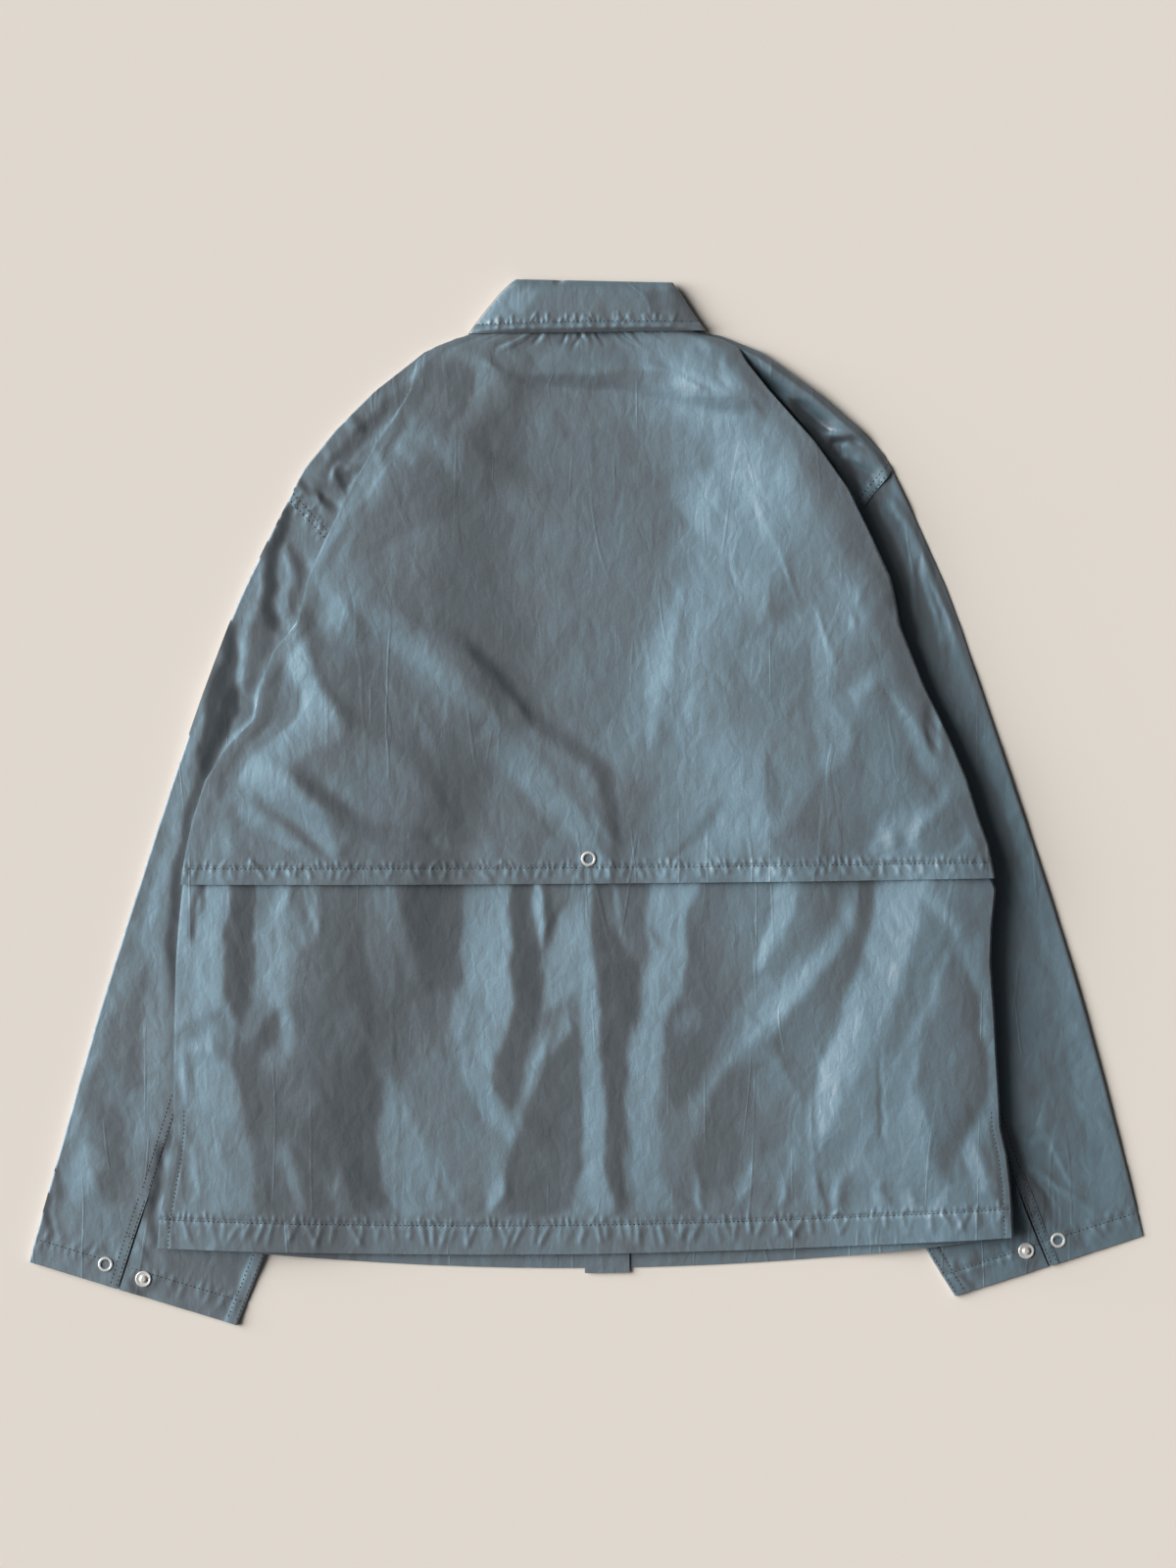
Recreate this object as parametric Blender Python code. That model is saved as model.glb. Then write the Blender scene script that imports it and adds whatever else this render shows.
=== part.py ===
"""A shirt jacket of thin nylon taffeta, laid flat with its back up and its collar towards +Y.

The sleeves lie lowest, pulled down along the sides. The fronts lie over them and on the floor between them,
the lower back lies on the fronts, and the vented upper back hangs over the lower back as a free flap.
Units are metres. The origin is the middle of the garment's outline, on the floor.
"""

import math
from collections import namedtuple

import bpy
from mathutils import Vector
from mathutils.bvhtree import BVHTree

# Driving dimensions
CLOTH = 0.0012  # wall of every cloth piece
SEAM = 0.0003  # gap that two pieces keep at a seam
YOKE_SEAM = 0.0006  # the same at the armhole, whose two walls meet at a slant
LAY = 0.0005  # gap between a panel's edge and the panel that it lies on
FLAP_GAP = 0.0009  # gap between the flap and the lower back under it
EDGE_ROLL = 0.0025  # how far a body panel rolls down towards its side edge
EDGE_REACH = 0.014  # width of that roll
HEM_STEP = 0.0006  # how far a turned hem stands above its panel
ARM_RAMP = 0.060  # width over which the body comes down from the sleeves to the floor
SLEEVE_ROUND = 0.0023  # outer radius of a sleeve's folded edge
SLEEVE_CROWN = 0.0052  # height of the sleeve outside the body
SLEEVE_SLOPE = 0.030  # width over which a sleeve climbs from its folded edge to its crown
COVERED_FROM = 0.42  # share of a sleeve's width where it starts to climb to its height under the body
COVERED_OVER = 0.26  # share of the width that this climb takes
FLAP_REST = 0.080  # the upper back comes down from the flap to the fronts up to here
FLAP_CLIMB = 0.070  # length of that climb, and of the stretch where the flap's folds fade into its hem
BACK_FOLDS_FROM = -0.055  # the lower back's folds start here, under the flap
BACK_FOLDS_FADE = 0.030
SLIT_OPEN = 0.005  # how far the cuff's slit gapes at its mouth
BINDING_WIDTH = 0.008
PLACKET_WIDTH = 0.035
PLACKET_LEFT_EDGE = -0.022
PLACKET_RIGHT_EDGE = 0.034
PLACKET_DROP = 0.004  # the button stand hangs this far below the front hem
NECK_FRONT = 0.3655  # upper edge of the fronts
COLLAR_ROUND = 0.0040  # outer radius of the collar's side folds
COLLAR_SLOPE = 0.028  # width over which the collar climbs from its side folds
COLLAR_OPEN = 0.42  # share of the collar's width that each of its front ends takes
GATHER_HEIGHT = 0.0007
GATHER_LENGTH = 0.030
GATHER_REACH = 0.066  # the gathers end this far to each side of the middle
SNAP_RADIUS = 0.0059
SNAP_EYE = 0.0038
SNAP_RIM = 0.0011
STUD_RADIUS = 0.0063
STUD_HEIGHT = 0.0026
TURN_STEPS = 14  # sides of a snap
SNAP_SEAT = 0.0006  # gap under a snap, which keeps its flat face clear of the cloth's curve

TAFFETA_COLOUR = (0.127, 0.178, 0.212)
STEEL_COLOUR = (0.78, 0.77, 0.74)

# Outline of the upper back, from the neck seam down to the flap's hem
PanelRow = namedtuple("PanelRow", "y left right")
UPPER_BACK = [
    PanelRow(0.376, -0.078, 0.080),
    PanelRow(0.3685, -0.085, 0.087),
    PanelRow(0.3635, -0.102, 0.106),
    PanelRow(0.357, -0.119, 0.120),
    PanelRow(0.346, -0.133, 0.126),
    PanelRow(0.323, -0.138, 0.144),
    PanelRow(0.303, -0.150, 0.162),
    PanelRow(0.284, -0.163, 0.179),
    PanelRow(0.246, -0.185, 0.206),
    PanelRow(0.207, -0.204, 0.225),
    PanelRow(0.176, -0.218, 0.239),
    PanelRow(0.153, -0.223, 0.244),
    PanelRow(0.139, -0.227, 0.246),
    PanelRow(0.119, -0.245, 0.254),
    PanelRow(0.091, -0.255, 0.265),
    PanelRow(0.065, -0.260, 0.278),
    PanelRow(0.045, -0.280, 0.287),
    PanelRow(0.018, -0.298, 0.298),
    PanelRow(-0.012, -0.308, 0.307),
    PanelRow(-0.035, -0.313, 0.315),
    PanelRow(-0.0475, -0.315, 0.3175),
    PanelRow(-0.050, -0.3155, 0.318),
    PanelRow(-0.0615, -0.317, 0.320),
]
# Outline of the lower back, from its top under the flap down to the hem
LOWER_BACK = [
    PanelRow(0.000, -0.288, 0.288),
    PanelRow(-0.030, -0.304, 0.306),
    PanelRow(-0.058, -0.314, 0.317),
    PanelRow(-0.068, -0.316, 0.321),
    PanelRow(-0.097, -0.319, 0.318),
    PanelRow(-0.125, -0.321, 0.317),
    PanelRow(-0.163, -0.322, 0.320),
    PanelRow(-0.200, -0.3225, 0.322),
    PanelRow(-0.230, -0.323, 0.324),
    PanelRow(-0.255, -0.323, 0.325),
    PanelRow(-0.278, -0.326, 0.330),
    PanelRow(-0.305, -0.331, 0.333),
    PanelRow(-0.3215, -0.334, 0.334),
    PanelRow(-0.3240, -0.3345, 0.334),
    PanelRow(-0.3445, -0.336, 0.335),
]
# Outer edge of each front, from the neck down to the hem
FRONT_EDGE = [
    PanelRow(NECK_FRONT, -0.068, 0.070),
    PanelRow(0.330, -0.072, 0.074),
    PanelRow(0.290, -0.121, 0.125),
    PanelRow(0.250, -0.134, 0.138),
    PanelRow(0.210, -0.150, 0.154),
    PanelRow(0.170, -0.178, 0.182),
    PanelRow(0.140, -0.208, 0.216),
    PanelRow(0.112, -0.236, 0.244),
    PanelRow(0.088, -0.250, 0.260),
    PanelRow(0.060, -0.258, 0.275),
    PanelRow(0.030, -0.284, 0.289),
    PanelRow(-0.012, -0.302, 0.301),
    PanelRow(-0.062, -0.312, 0.315),
    PanelRow(-0.125, -0.316, 0.313),
    PanelRow(-0.200, -0.318, 0.318),
    PanelRow(-0.255, -0.319, 0.321),
    PanelRow(-0.300, -0.326, 0.328),
    PanelRow(-0.3215, -0.330, 0.330),
    PanelRow(-0.3240, -0.330, 0.330),
    PanelRow(-0.343, -0.332, 0.331),
]
# Each hem line tilts from side to side and sags in its middle
HemLine = namedtuple("HemLine", "starts_y ends_y tilt sag")
FLAP_HEM_LINE = HemLine(starts_y=0.045, ends_y=-0.0615, tilt=0.008, sag=-0.002)
BACK_HEM_LINE = HemLine(starts_y=-0.200, ends_y=-0.3445, tilt=0.0134, sag=-0.0095)
FRONT_HEM_LINE = HemLine(starts_y=-0.200, ends_y=-0.343, tilt=0.006, sag=-0.0225)

# Where the arms' hidden inner edge lies under the body, and how high the body passes over them there
ArmRow = namedtuple("ArmRow", "y left right height")
ARM_COVER = [
    ArmRow(0.380, -0.080, 0.082, 0.0022),
    ArmRow(0.350, -0.086, 0.088, 0.0048),
    ArmRow(0.320, -0.094, 0.098, 0.0060),
    ArmRow(0.250, -0.118, 0.122, 0.0064),
    ArmRow(0.200, -0.130, 0.134, 0.0074),
    ArmRow(0.150, -0.118, 0.122, 0.0088),
    ArmRow(0.100, -0.098, 0.102, 0.0100),
    ArmRow(0.000, -0.134, 0.138, 0.0102),
    ArmRow(-0.100, -0.166, 0.170, 0.0102),
    ArmRow(-0.200, -0.196, 0.205, 0.0100),
    ArmRow(-0.280, -0.222, 0.234, 0.0088),
    ArmRow(-0.340, -0.245, 0.258, 0.0070),
    ArmRow(-0.420, -0.275, 0.290, 0.0062),
]

# Sleeve sections from the armhole to the cuff: outer and inner folded edge, and the height under the body
SleeveRow = namedtuple("SleeveRow", "outer_x outer_y inner_x inner_y crown")
LEFT_SLEEVE = [
    SleeveRow(-0.2330, 0.2390, -0.105, 0.100, 0.0062),
    SleeveRow(-0.2680, 0.1690, -0.122, 0.043, 0.0084),
    SleeveRow(-0.2930, 0.1070, -0.139, -0.008, 0.0092),
    SleeveRow(-0.3250, 0.0150, -0.163, -0.087, 0.0092),
    SleeveRow(-0.3550, -0.0780, -0.188, -0.167, 0.0090),
    SleeveRow(-0.3840, -0.1700, -0.213, -0.248, 0.0078),
    SleeveRow(-0.4100, -0.2620, -0.238, -0.318, 0.0060),
    SleeveRow(-0.4260, -0.3190, -0.255, -0.363, 0.0052),
    SleeveRow(-0.4374, -0.3604, -0.274, -0.4104, 0.0050),
]
RIGHT_SLEEVE = [
    SleeveRow(0.2400, 0.2625, 0.108, 0.105, 0.0062),
    SleeveRow(0.2826, 0.1686, 0.126, 0.043, 0.0084),
    SleeveRow(0.3040, 0.1070, 0.143, -0.008, 0.0092),
    SleeveRow(0.3350, 0.0150, 0.168, -0.085, 0.0092),
    SleeveRow(0.3658, -0.0780, 0.194, -0.163, 0.0090),
    SleeveRow(0.3935, -0.1700, 0.220, -0.241, 0.0078),
    SleeveRow(0.4180, -0.2626, 0.246, -0.308, 0.0060),
    SleeveRow(0.4290, -0.3060, 0.2655, -0.3485, 0.0052),
    SleeveRow(0.4374, -0.3403, 0.2895, -0.3873, 0.0050),
]
SLEEVE_STEPS = 2  # sections from one row of the table to the next
SLIT_FROM = 0.87  # share of the sleeve's length where the cuff's slit begins
# Share of the sleeve's width where its seam lies on the upper side
LEFT_SEAM = 0.43
RIGHT_SEAM = 0.50
UNDER_SEAM = 0.50  # the same on the floor side

# Yoke sections from the collar to the armhole: shoulder edge, the way that the section runs from it, and the
# shares of that way that the yoke takes on its upper side and on the floor side
YokeRow = namedtuple("YokeRow", "outer_x outer_y inner_x inner_y top under")
LEFT_YOKE = [
    YokeRow(-0.0940, 0.3662, -0.030, 0.330, 0.25, 0.60),
    YokeRow(-0.1020, 0.3645, -0.040, 0.290, 0.40, 0.60),
    YokeRow(-0.1270, 0.3535, -0.045, 0.262, 0.42, 0.60),
    YokeRow(-0.1665, 0.3225, -0.056, 0.215, 0.42, 0.60),
    YokeRow(-0.1970, 0.2920, -0.075, 0.168, 0.42, 0.60),
    YokeRow(-0.2220, 0.2610, -0.094, 0.124, 0.42, 0.60),
]
RIGHT_YOKE = [
    YokeRow(0.0960, 0.3682, 0.032, 0.330, 0.25, 0.60),
    YokeRow(0.1060, 0.3665, 0.042, 0.290, 0.40, 0.60),
    YokeRow(0.1380, 0.3535, 0.047, 0.262, 0.42, 0.60),
    YokeRow(0.1810, 0.3225, 0.058, 0.215, 0.42, 0.60),
    YokeRow(0.2165, 0.2920, 0.077, 0.168, 0.42, 0.60),
    YokeRow(0.2330, 0.2745, 0.098, 0.128, 0.42, 0.60),
]

# Collar sections from the leaf's edge up to the roll line: side folds, rise of the middle, floor side and top
CollarRow = namedtuple("CollarRow", "left_x left_y right_x right_y bow low high")
COLLAR_LEAF = [
    CollarRow(-0.0925, 0.3675, 0.0940, 0.3700, 0.0020, 0.0000, 0.0112),
    CollarRow(-0.0880, 0.3745, 0.0895, 0.3765, 0.0015, 0.0000, 0.0114),
    CollarRow(-0.0775, 0.3880, 0.0815, 0.3880, 0.0000, 0.0000, 0.0118),
    CollarRow(-0.0675, 0.4000, 0.0745, 0.3990, 0.0000, 0.0004, 0.0114),
    CollarRow(-0.0600, 0.4070, 0.0705, 0.4045, 0.0000, 0.0016, 0.0098),
    CollarRow(-0.0554, 0.4104, 0.0683, 0.4078, 0.0000, 0.0032, 0.0072),
]
COLLAR_STAND = [
    CollarRow(-0.0755, 0.3768, 0.0775, 0.3768, 0.0000, 0.0017, 0.0074),
    CollarRow(-0.0690, 0.3880, 0.0730, 0.3880, 0.0000, 0.0020, 0.0082),
    CollarRow(-0.0610, 0.3980, 0.0670, 0.3970, 0.0000, 0.0026, 0.0080),
]

# Largest folds: soft ridges (height above 0) and troughs (below 0) along a line
Fold = namedtuple("Fold", "from_x from_y to_x to_y half_width height")
UPPER_BACK_FOLDS = [
    Fold(-0.085, 0.345, 0.080, 0.338, 0.018, 0.0036),
    Fold(0.040, 0.330, 0.132, 0.305, 0.018, 0.0034),
    Fold(-0.150, 0.284, -0.078, 0.286, 0.018, 0.0034),
    Fold(-0.130, 0.280, -0.068, 0.190, 0.024, 0.0030),
    Fold(0.112, 0.350, 0.160, 0.220, 0.026, 0.0032),
    Fold(-0.100, 0.145, -0.006, -0.020, 0.024, 0.0042),
    Fold(0.090, 0.110, 0.012, -0.022, 0.026, 0.0036),
    Fold(-0.225, 0.125, -0.188, 0.064, 0.022, 0.0040),
    Fold(-0.190, 0.066, -0.262, 0.030, 0.022, 0.0034),
    Fold(-0.240, 0.020, -0.170, -0.030, 0.022, 0.0034),
    Fold(0.250, 0.150, 0.190, 0.070, 0.024, 0.0036),
    Fold(0.275, 0.060, 0.215, -0.025, 0.024, 0.0034),
    Fold(0.150, 0.190, 0.170, 0.040, 0.024, 0.0028),
]
LOWER_BACK_FOLDS = [
    Fold(0.004, -0.066, 0.012, -0.340, 0.022, 0.0044),
    Fold(0.068, -0.080, 0.054, -0.330, 0.024, 0.0042),
    Fold(0.256, -0.075, 0.212, -0.235, 0.030, 0.0040),
    Fold(0.150, -0.075, 0.096, -0.220, 0.026, 0.0036),
    Fold(0.190, -0.200, 0.140, -0.315, 0.026, 0.0034),
    Fold(-0.062, -0.075, -0.040, -0.260, 0.026, 0.0040),
    Fold(-0.140, -0.080, -0.122, -0.300, 0.028, 0.0036),
    Fold(-0.215, -0.080, -0.190, -0.210, 0.026, 0.0034),
    Fold(-0.290, -0.090, -0.296, -0.300, 0.022, 0.0030),
    Fold(0.290, -0.090, 0.300, -0.250, 0.022, 0.0030),
]
LEFT_SLEEVE_FOLDS = [
    Fold(-0.258, 0.180, -0.268, 0.085, 0.016, 0.0030),
    Fold(-0.305, 0.040, -0.372, -0.160, 0.020, 0.0016),
    Fold(-0.392, -0.200, -0.380, -0.300, 0.020, 0.0016),
]
RIGHT_SLEEVE_FOLDS = [
    Fold(0.272, 0.190, 0.330, -0.020, 0.016, 0.0020),
    Fold(0.350, -0.080, 0.395, -0.230, 0.020, 0.0016),
    Fold(0.372, -0.250, 0.392, -0.320, 0.020, 0.0016),
]

# Columns of the body panels, as shares of the panel's width: close together in the rolled side edges
EDGE_SHARES = [0.0, 0.009, 0.030]
MIDDLE_COLUMNS = 25
FRONT_COLUMNS = 9

# Press snaps: ring snaps show a rim round a disc of cloth, studs show their knob
Snap = namedtuple("Snap", "name panel kind x y")
SNAPS = [
    Snap("flap_ring_snap", "upper_back", "ring", 0.002, -0.044),
    Snap("left_cuff_ring_snap", "left_top_sleeve", "ring", -0.3770, -0.3622),
    Snap("left_cuff_stud", "left_under_sleeve", "stud", -0.3474, -0.3738),
    Snap("right_cuff_ring_snap", "right_top_sleeve", "ring", 0.3707, -0.3436),
    Snap("right_cuff_stud", "right_under_sleeve", "stud", 0.3456, -0.3518),
]
# A stud's section, from the knob's top out over the flange and back to the axis underneath
TurnedPoint = namedtuple("TurnedPoint", "radius_share height_share")
STUD_TURNING = [
    TurnedPoint(0.00, 1.00),
    TurnedPoint(0.20, 0.96),
    TurnedPoint(0.30, 0.77),
    TurnedPoint(0.32, 0.27),
    TurnedPoint(0.72, 0.31),
    TurnedPoint(0.88, 0.50),
    TurnedPoint(1.00, 0.31),
    TurnedPoint(0.97, 0.00),
    TurnedPoint(0.00, 0.00),
]


def smooth(t):
    """Eases from 0 to 1 as t goes from 0 to 1."""
    t = min(max(t, 0.0), 1.0)
    return t * t * (3 - 2 * t)


def at_height(rows, column, y):
    """A column of a table whose rows go down in y, read between its rows."""
    if y >= rows[0].y:
        return getattr(rows[0], column)
    for upper, lower in zip(rows, rows[1:]):
        if y >= lower.y:
            share = (upper.y - y) / (upper.y - lower.y)
            return getattr(upper, column) * (1 - share) + getattr(lower, column) * share
    return getattr(rows[-1], column)


def curve_through(before, start, end, after, t):
    """A point on the smooth curve from start to end that also heeds the points before and after them."""
    slope = end - before
    bend = 2 * before - 5 * start + 4 * end - after
    twist = 3 * start - before - 3 * end + after
    return 0.5 * (2 * start + slope * t + bend * t**2 + twist * t**3)


def between_rows(rows, steps):
    """The rows of a table with steps - 1 more between each two, on a smooth curve through them."""
    made = []
    last = len(rows) - 1
    for i in range(last):
        near = [rows[min(max(i + k, 0), last)] for k in (-1, 0, 1, 2)]
        for step in range(steps):
            made.append(type(near[0])(*(curve_through(*column, step / steps) for column in zip(*near))))
    return made + [rows[-1]]


def fold_height(folds, x, y):
    """Height that the folds add at a point."""
    total = 0.0
    for fold in folds:
        run = Vector((fold.to_x - fold.from_x, fold.to_y - fold.from_y))
        away = Vector((x - fold.from_x, y - fold.from_y))
        along = away.dot(run) / run.length_squared
        across = abs(away.cross(run)) / run.length / fold.half_width
        if across < 1 and -0.2 < along < 1.2:
            taper = smooth((along + 0.2) / 0.4) * smooth((1.2 - along) / 0.4)
            total += fold.height * taper * (1 - across * across) ** 2
    return total


def body_lift(x, y):
    """Height at which the fronts pass over the sleeves: 0 on the floor between them."""
    from_left = (at_height(ARM_COVER, "left", y) - x) / ARM_RAMP + 1
    from_right = (x - at_height(ARM_COVER, "right", y)) / ARM_RAMP + 1
    return at_height(ARM_COVER, "height", y) * max(smooth(from_left), smooth(from_right))


def edge_rise(distance):
    """Share of the side roll that a panel has climbed at this distance from its side edge."""
    left = max(0.0, 1 - distance / EDGE_REACH)
    return 1 - left * left


def hem_drop(line, x, y, half_width):
    """How far a panel's row lies from its straight line, growing to the whole hem line at the hem."""
    share = smooth((line.starts_y - y) / (line.starts_y - line.ends_y))
    return share * (line.tilt * x + line.sag * (1 - (x / half_width) ** 2))


def lower_back_top(x, y, edge):
    """Upper surface of the lower back, with its folds faded out under the flap."""
    folds = fold_height(LOWER_BACK_FOLDS, x, y) * smooth((BACK_FOLDS_FROM - y) / BACK_FOLDS_FADE)
    hem = HEM_STEP if y <= LOWER_BACK[-2].y else 0.0
    return body_lift(x, y) + 2 * CLOTH + LAY + (EDGE_ROLL + folds) * edge_rise(edge) + hem


def upper_back_top(x, y, edge):
    """Upper surface of the upper back: it comes down from the flap, over the lower back, to the neck."""
    over_lower_back = (CLOTH + FLAP_GAP) * smooth((FLAP_REST - y) / FLAP_CLIMB)
    folds = fold_height(UPPER_BACK_FOLDS, x, y) * smooth((y - UPPER_BACK[-1].y) / FLAP_CLIMB)
    hem = HEM_STEP if y <= UPPER_BACK[-2].y else 0.0
    lift = body_lift(x, y) + 2 * CLOTH + LAY
    return lift + over_lower_back + (EDGE_ROLL + folds) * edge_rise(edge) + hem


def material(name, colour, roughness, metallic):
    made = bpy.data.materials.new(name)
    made.use_nodes = True
    shader = made.node_tree.nodes["Principled BSDF"]
    shader.inputs["Base Color"].default_value = (*colour, 1)
    shader.inputs["Roughness"].default_value = roughness
    shader.inputs["Metallic"].default_value = metallic
    return made


def add_object(name, mesh, finish):
    mesh.materials.append(finish)
    made = bpy.data.objects.new(name, mesh)
    bpy.context.scene.collection.objects.link(made)
    return made


def cloth_piece(name, grid):
    """A wall of cloth whose outer face runs through the grid's points, which are rows of equal length."""
    points = [point for row in grid for point in row]
    width = len(grid[0])
    faces = [
        (r * width + c, (r + 1) * width + c, (r + 1) * width + c + 1, r * width + c + 1)
        for r in range(len(grid) - 1)
        for c in range(width - 1)
    ]
    mesh = bpy.data.meshes.new(name)
    mesh.from_pydata(points, [], faces)
    mesh.shade_smooth()
    piece = add_object(name, mesh, material(name + "_taffeta", TAFFETA_COLOUR, 0.45, 0.0))
    piece.modifiers.new("one diagonal for both faces", "TRIANGULATE")
    wall = piece.modifiers.new("wall", "SOLIDIFY")
    wall.thickness = CLOTH
    wall.offset = -1
    wall.use_even_offset = True


def facing(grid, turn):
    """The grid with its outer face on the other side, where asked to turn it."""
    return [list(reversed(row)) for row in grid] if turn else grid


def column_shares():
    """Shares of a body panel's width where its columns lie."""
    inner = EDGE_SHARES[-1]
    middle = [inner + (1 - 2 * inner) * i / MIDDLE_COLUMNS for i in range(1, MIDDLE_COLUMNS)]
    return EDGE_SHARES + middle + [1 - share for share in reversed(EDGE_SHARES)]


def gathers(column, x, y):
    """Small gathers that the neck seam takes up, one for each two columns, under the collar's edge."""
    if abs(x) > GATHER_REACH:
        return 0.0
    fade = smooth((y - UPPER_BACK[0].y) / GATHER_LENGTH + 1)
    return GATHER_HEIGHT * fade * (-1) ** column


def make_upper_back():
    grid = []
    for row in UPPER_BACK:
        width = row.right - row.left
        points = []
        for column, share in enumerate(column_shares()):
            x = row.left + width * share
            edge = width * min(share, 1 - share)
            y = row.y + hem_drop(FLAP_HEM_LINE, x, row.y, width / 2)
            points.append((x, y, upper_back_top(x, row.y, edge) + gathers(column, x, row.y)))
        grid.append(points)
    cloth_piece("upper_back", grid)


def make_lower_back():
    grid = []
    for row in LOWER_BACK:
        width = row.right - row.left
        points = []
        for share in column_shares():
            x = row.left + width * share
            edge = width * min(share, 1 - share)
            y = row.y + hem_drop(BACK_HEM_LINE, x, row.y, width / 2)
            points.append((x, y, lower_back_top(x, row.y, edge)))
        grid.append(points)
    cloth_piece("lower_back", grid)


def front_grid(first_x, last_x, shares, extra_lift=0.0, drop=0.0):
    """Points of a front piece between two edges, each a function of the row."""
    grid = []
    for row in FRONT_EDGE:
        points = []
        for share in shares:
            x = first_x(row) * (1 - share) + last_x(row) * share
            half_width = (row.right - row.left) / 2
            y = row.y + hem_drop(FRONT_HEM_LINE, x, row.y, half_width)
            if row is FRONT_EDGE[-1]:
                y -= drop
            points.append((x, y, body_lift(x, row.y) + CLOTH + extra_lift))
        grid.append(points)
    return grid


def make_fronts():
    """The two fronts, and the two plackets that close over each other between them."""
    across = [i / FRONT_COLUMNS for i in range(FRONT_COLUMNS + 1)]
    cloth_piece(
        "left_front",
        front_grid(lambda row: row.left, lambda row: PLACKET_LEFT_EDGE - SEAM, across),
    )
    cloth_piece(
        "right_front",
        front_grid(lambda row: PLACKET_RIGHT_EDGE + SEAM, lambda row: row.right, across),
    )
    halves = [0.0, 0.5, 1.0]
    cloth_piece(
        "left_placket",
        front_grid(lambda row: PLACKET_LEFT_EDGE, lambda row: PLACKET_RIGHT_EDGE, halves),
    )
    cloth_piece(
        "right_placket",
        front_grid(
            lambda row: PLACKET_RIGHT_EDGE - PLACKET_WIDTH,
            lambda row: PLACKET_RIGHT_EDGE,
            halves,
            extra_lift=CLOTH + SEAM,
            drop=PLACKET_DROP,
        ),
    )


def folded_section(edge, towards, tops, unders, radius, low, top_height):
    """Section of cloth folded flat: along its upper side to the edge, round it, and back on the floor side.

    edge is the fold's outermost point in plan, and towards is the unit vector that leads in from it. tops and
    unders are distances from the edge where points lie, and top_height gives the upper side's height there.
    """
    points = [(edge + towards * away, top_height(away)) for away in tops]
    turn = [math.radians(angle) for angle in (90, 135, 180, 225, 270)]
    points += [
        (edge + towards * (radius + radius * math.cos(a)), low + radius + radius * math.sin(a)) for a in turn
    ]
    points += [(edge + towards * away, low) for away in unders]
    return [(place.x, place.y, height) for place, height in points]


def sleeve_height(row, folds, from_outer):
    """Height of a sleeve's upper side at a distance from its outer fold."""
    outer, inner = Vector((row.outer_x, row.outer_y)), Vector((row.inner_x, row.inner_y))
    width = (inner - outer).length
    place = outer + (inner - outer) * (from_outer / width)
    shoulder = 2 * SLEEVE_ROUND
    near_outer = smooth((from_outer - SLEEVE_ROUND) / SLEEVE_SLOPE)
    near_inner = smooth((width - from_outer - SLEEVE_ROUND) / SLEEVE_SLOPE)
    shown = SLEEVE_CROWN - shoulder + fold_height(folds, place.x, place.y)
    hidden = (row.crown - SLEEVE_CROWN) * smooth((from_outer / width - COVERED_FROM) / COVERED_OVER)
    return shoulder + (shown * near_outer + hidden) * near_inner


def make_sleeve(side, table, seam, folds):
    """A sleeve and its slit binding. The top sleeve wraps the outer fold, the under sleeve the inner one."""
    rows = between_rows(table, SLEEVE_STEPS)
    outer_grid, inner_grid = [], []
    for number, row in enumerate(rows):
        outer, inner = Vector((row.outer_x, row.outer_y)), Vector((row.inner_x, row.inner_y))
        width = (inner - outer).length
        along = (inner - outer).normalized()
        share = number / (len(rows) - 1)
        slit = SLIT_OPEN * smooth((share - SLIT_FROM) / (1 - SLIT_FROM))
        hem = HEM_STEP if share > 0.98 else 0.0

        def from_outer_fold(away):
            return sleeve_height(row, folds, away) + hem

        def from_inner_fold(away):
            return sleeve_height(row, folds, width - away) + hem

        reach = width * seam
        tops = [reach, reach - BINDING_WIDTH] + [
            SLEEVE_ROUND + (reach - BINDING_WIDTH - SLEEVE_ROUND) * i / 5 for i in (4, 3, 2, 1)
        ]
        unders = [width * UNDER_SEAM * i / 3 for i in (1, 2, 3)]
        outer_grid.append(folded_section(outer, along, tops, unders, SLEEVE_ROUND, 0.0, from_outer_fold))
        reach = width * (1 - seam) - SEAM - slit
        tops = [SLEEVE_ROUND + (reach - SLEEVE_ROUND) * i / 6 for i in (6, 5, 4, 3, 2, 1)]
        unders = [width * (1 - UNDER_SEAM) * i / 3 for i in (1, 2)] + [width * (1 - UNDER_SEAM) - SEAM]
        inner_grid.append(folded_section(inner, -along, tops, unders, SLEEVE_ROUND, 0.0, from_inner_fold))
    cloth_piece(side + "_top_sleeve", facing(outer_grid, side == "left"))
    cloth_piece(side + "_under_sleeve", facing(inner_grid, side == "right"))
    first = round(SLIT_FROM * (len(rows) - 1)) - 1
    cloth_piece(side + "_slit_binding", facing(slit_binding(outer_grid[first:]), side == "left"))


def slit_binding(grid):
    """Points of the strip that binds the slit: the top sleeve's own edge points, moved out."""
    return [[Vector(point) + Vector((0, 0, SEAM + CLOTH)) for point in row[:2]] for row in grid]


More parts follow.
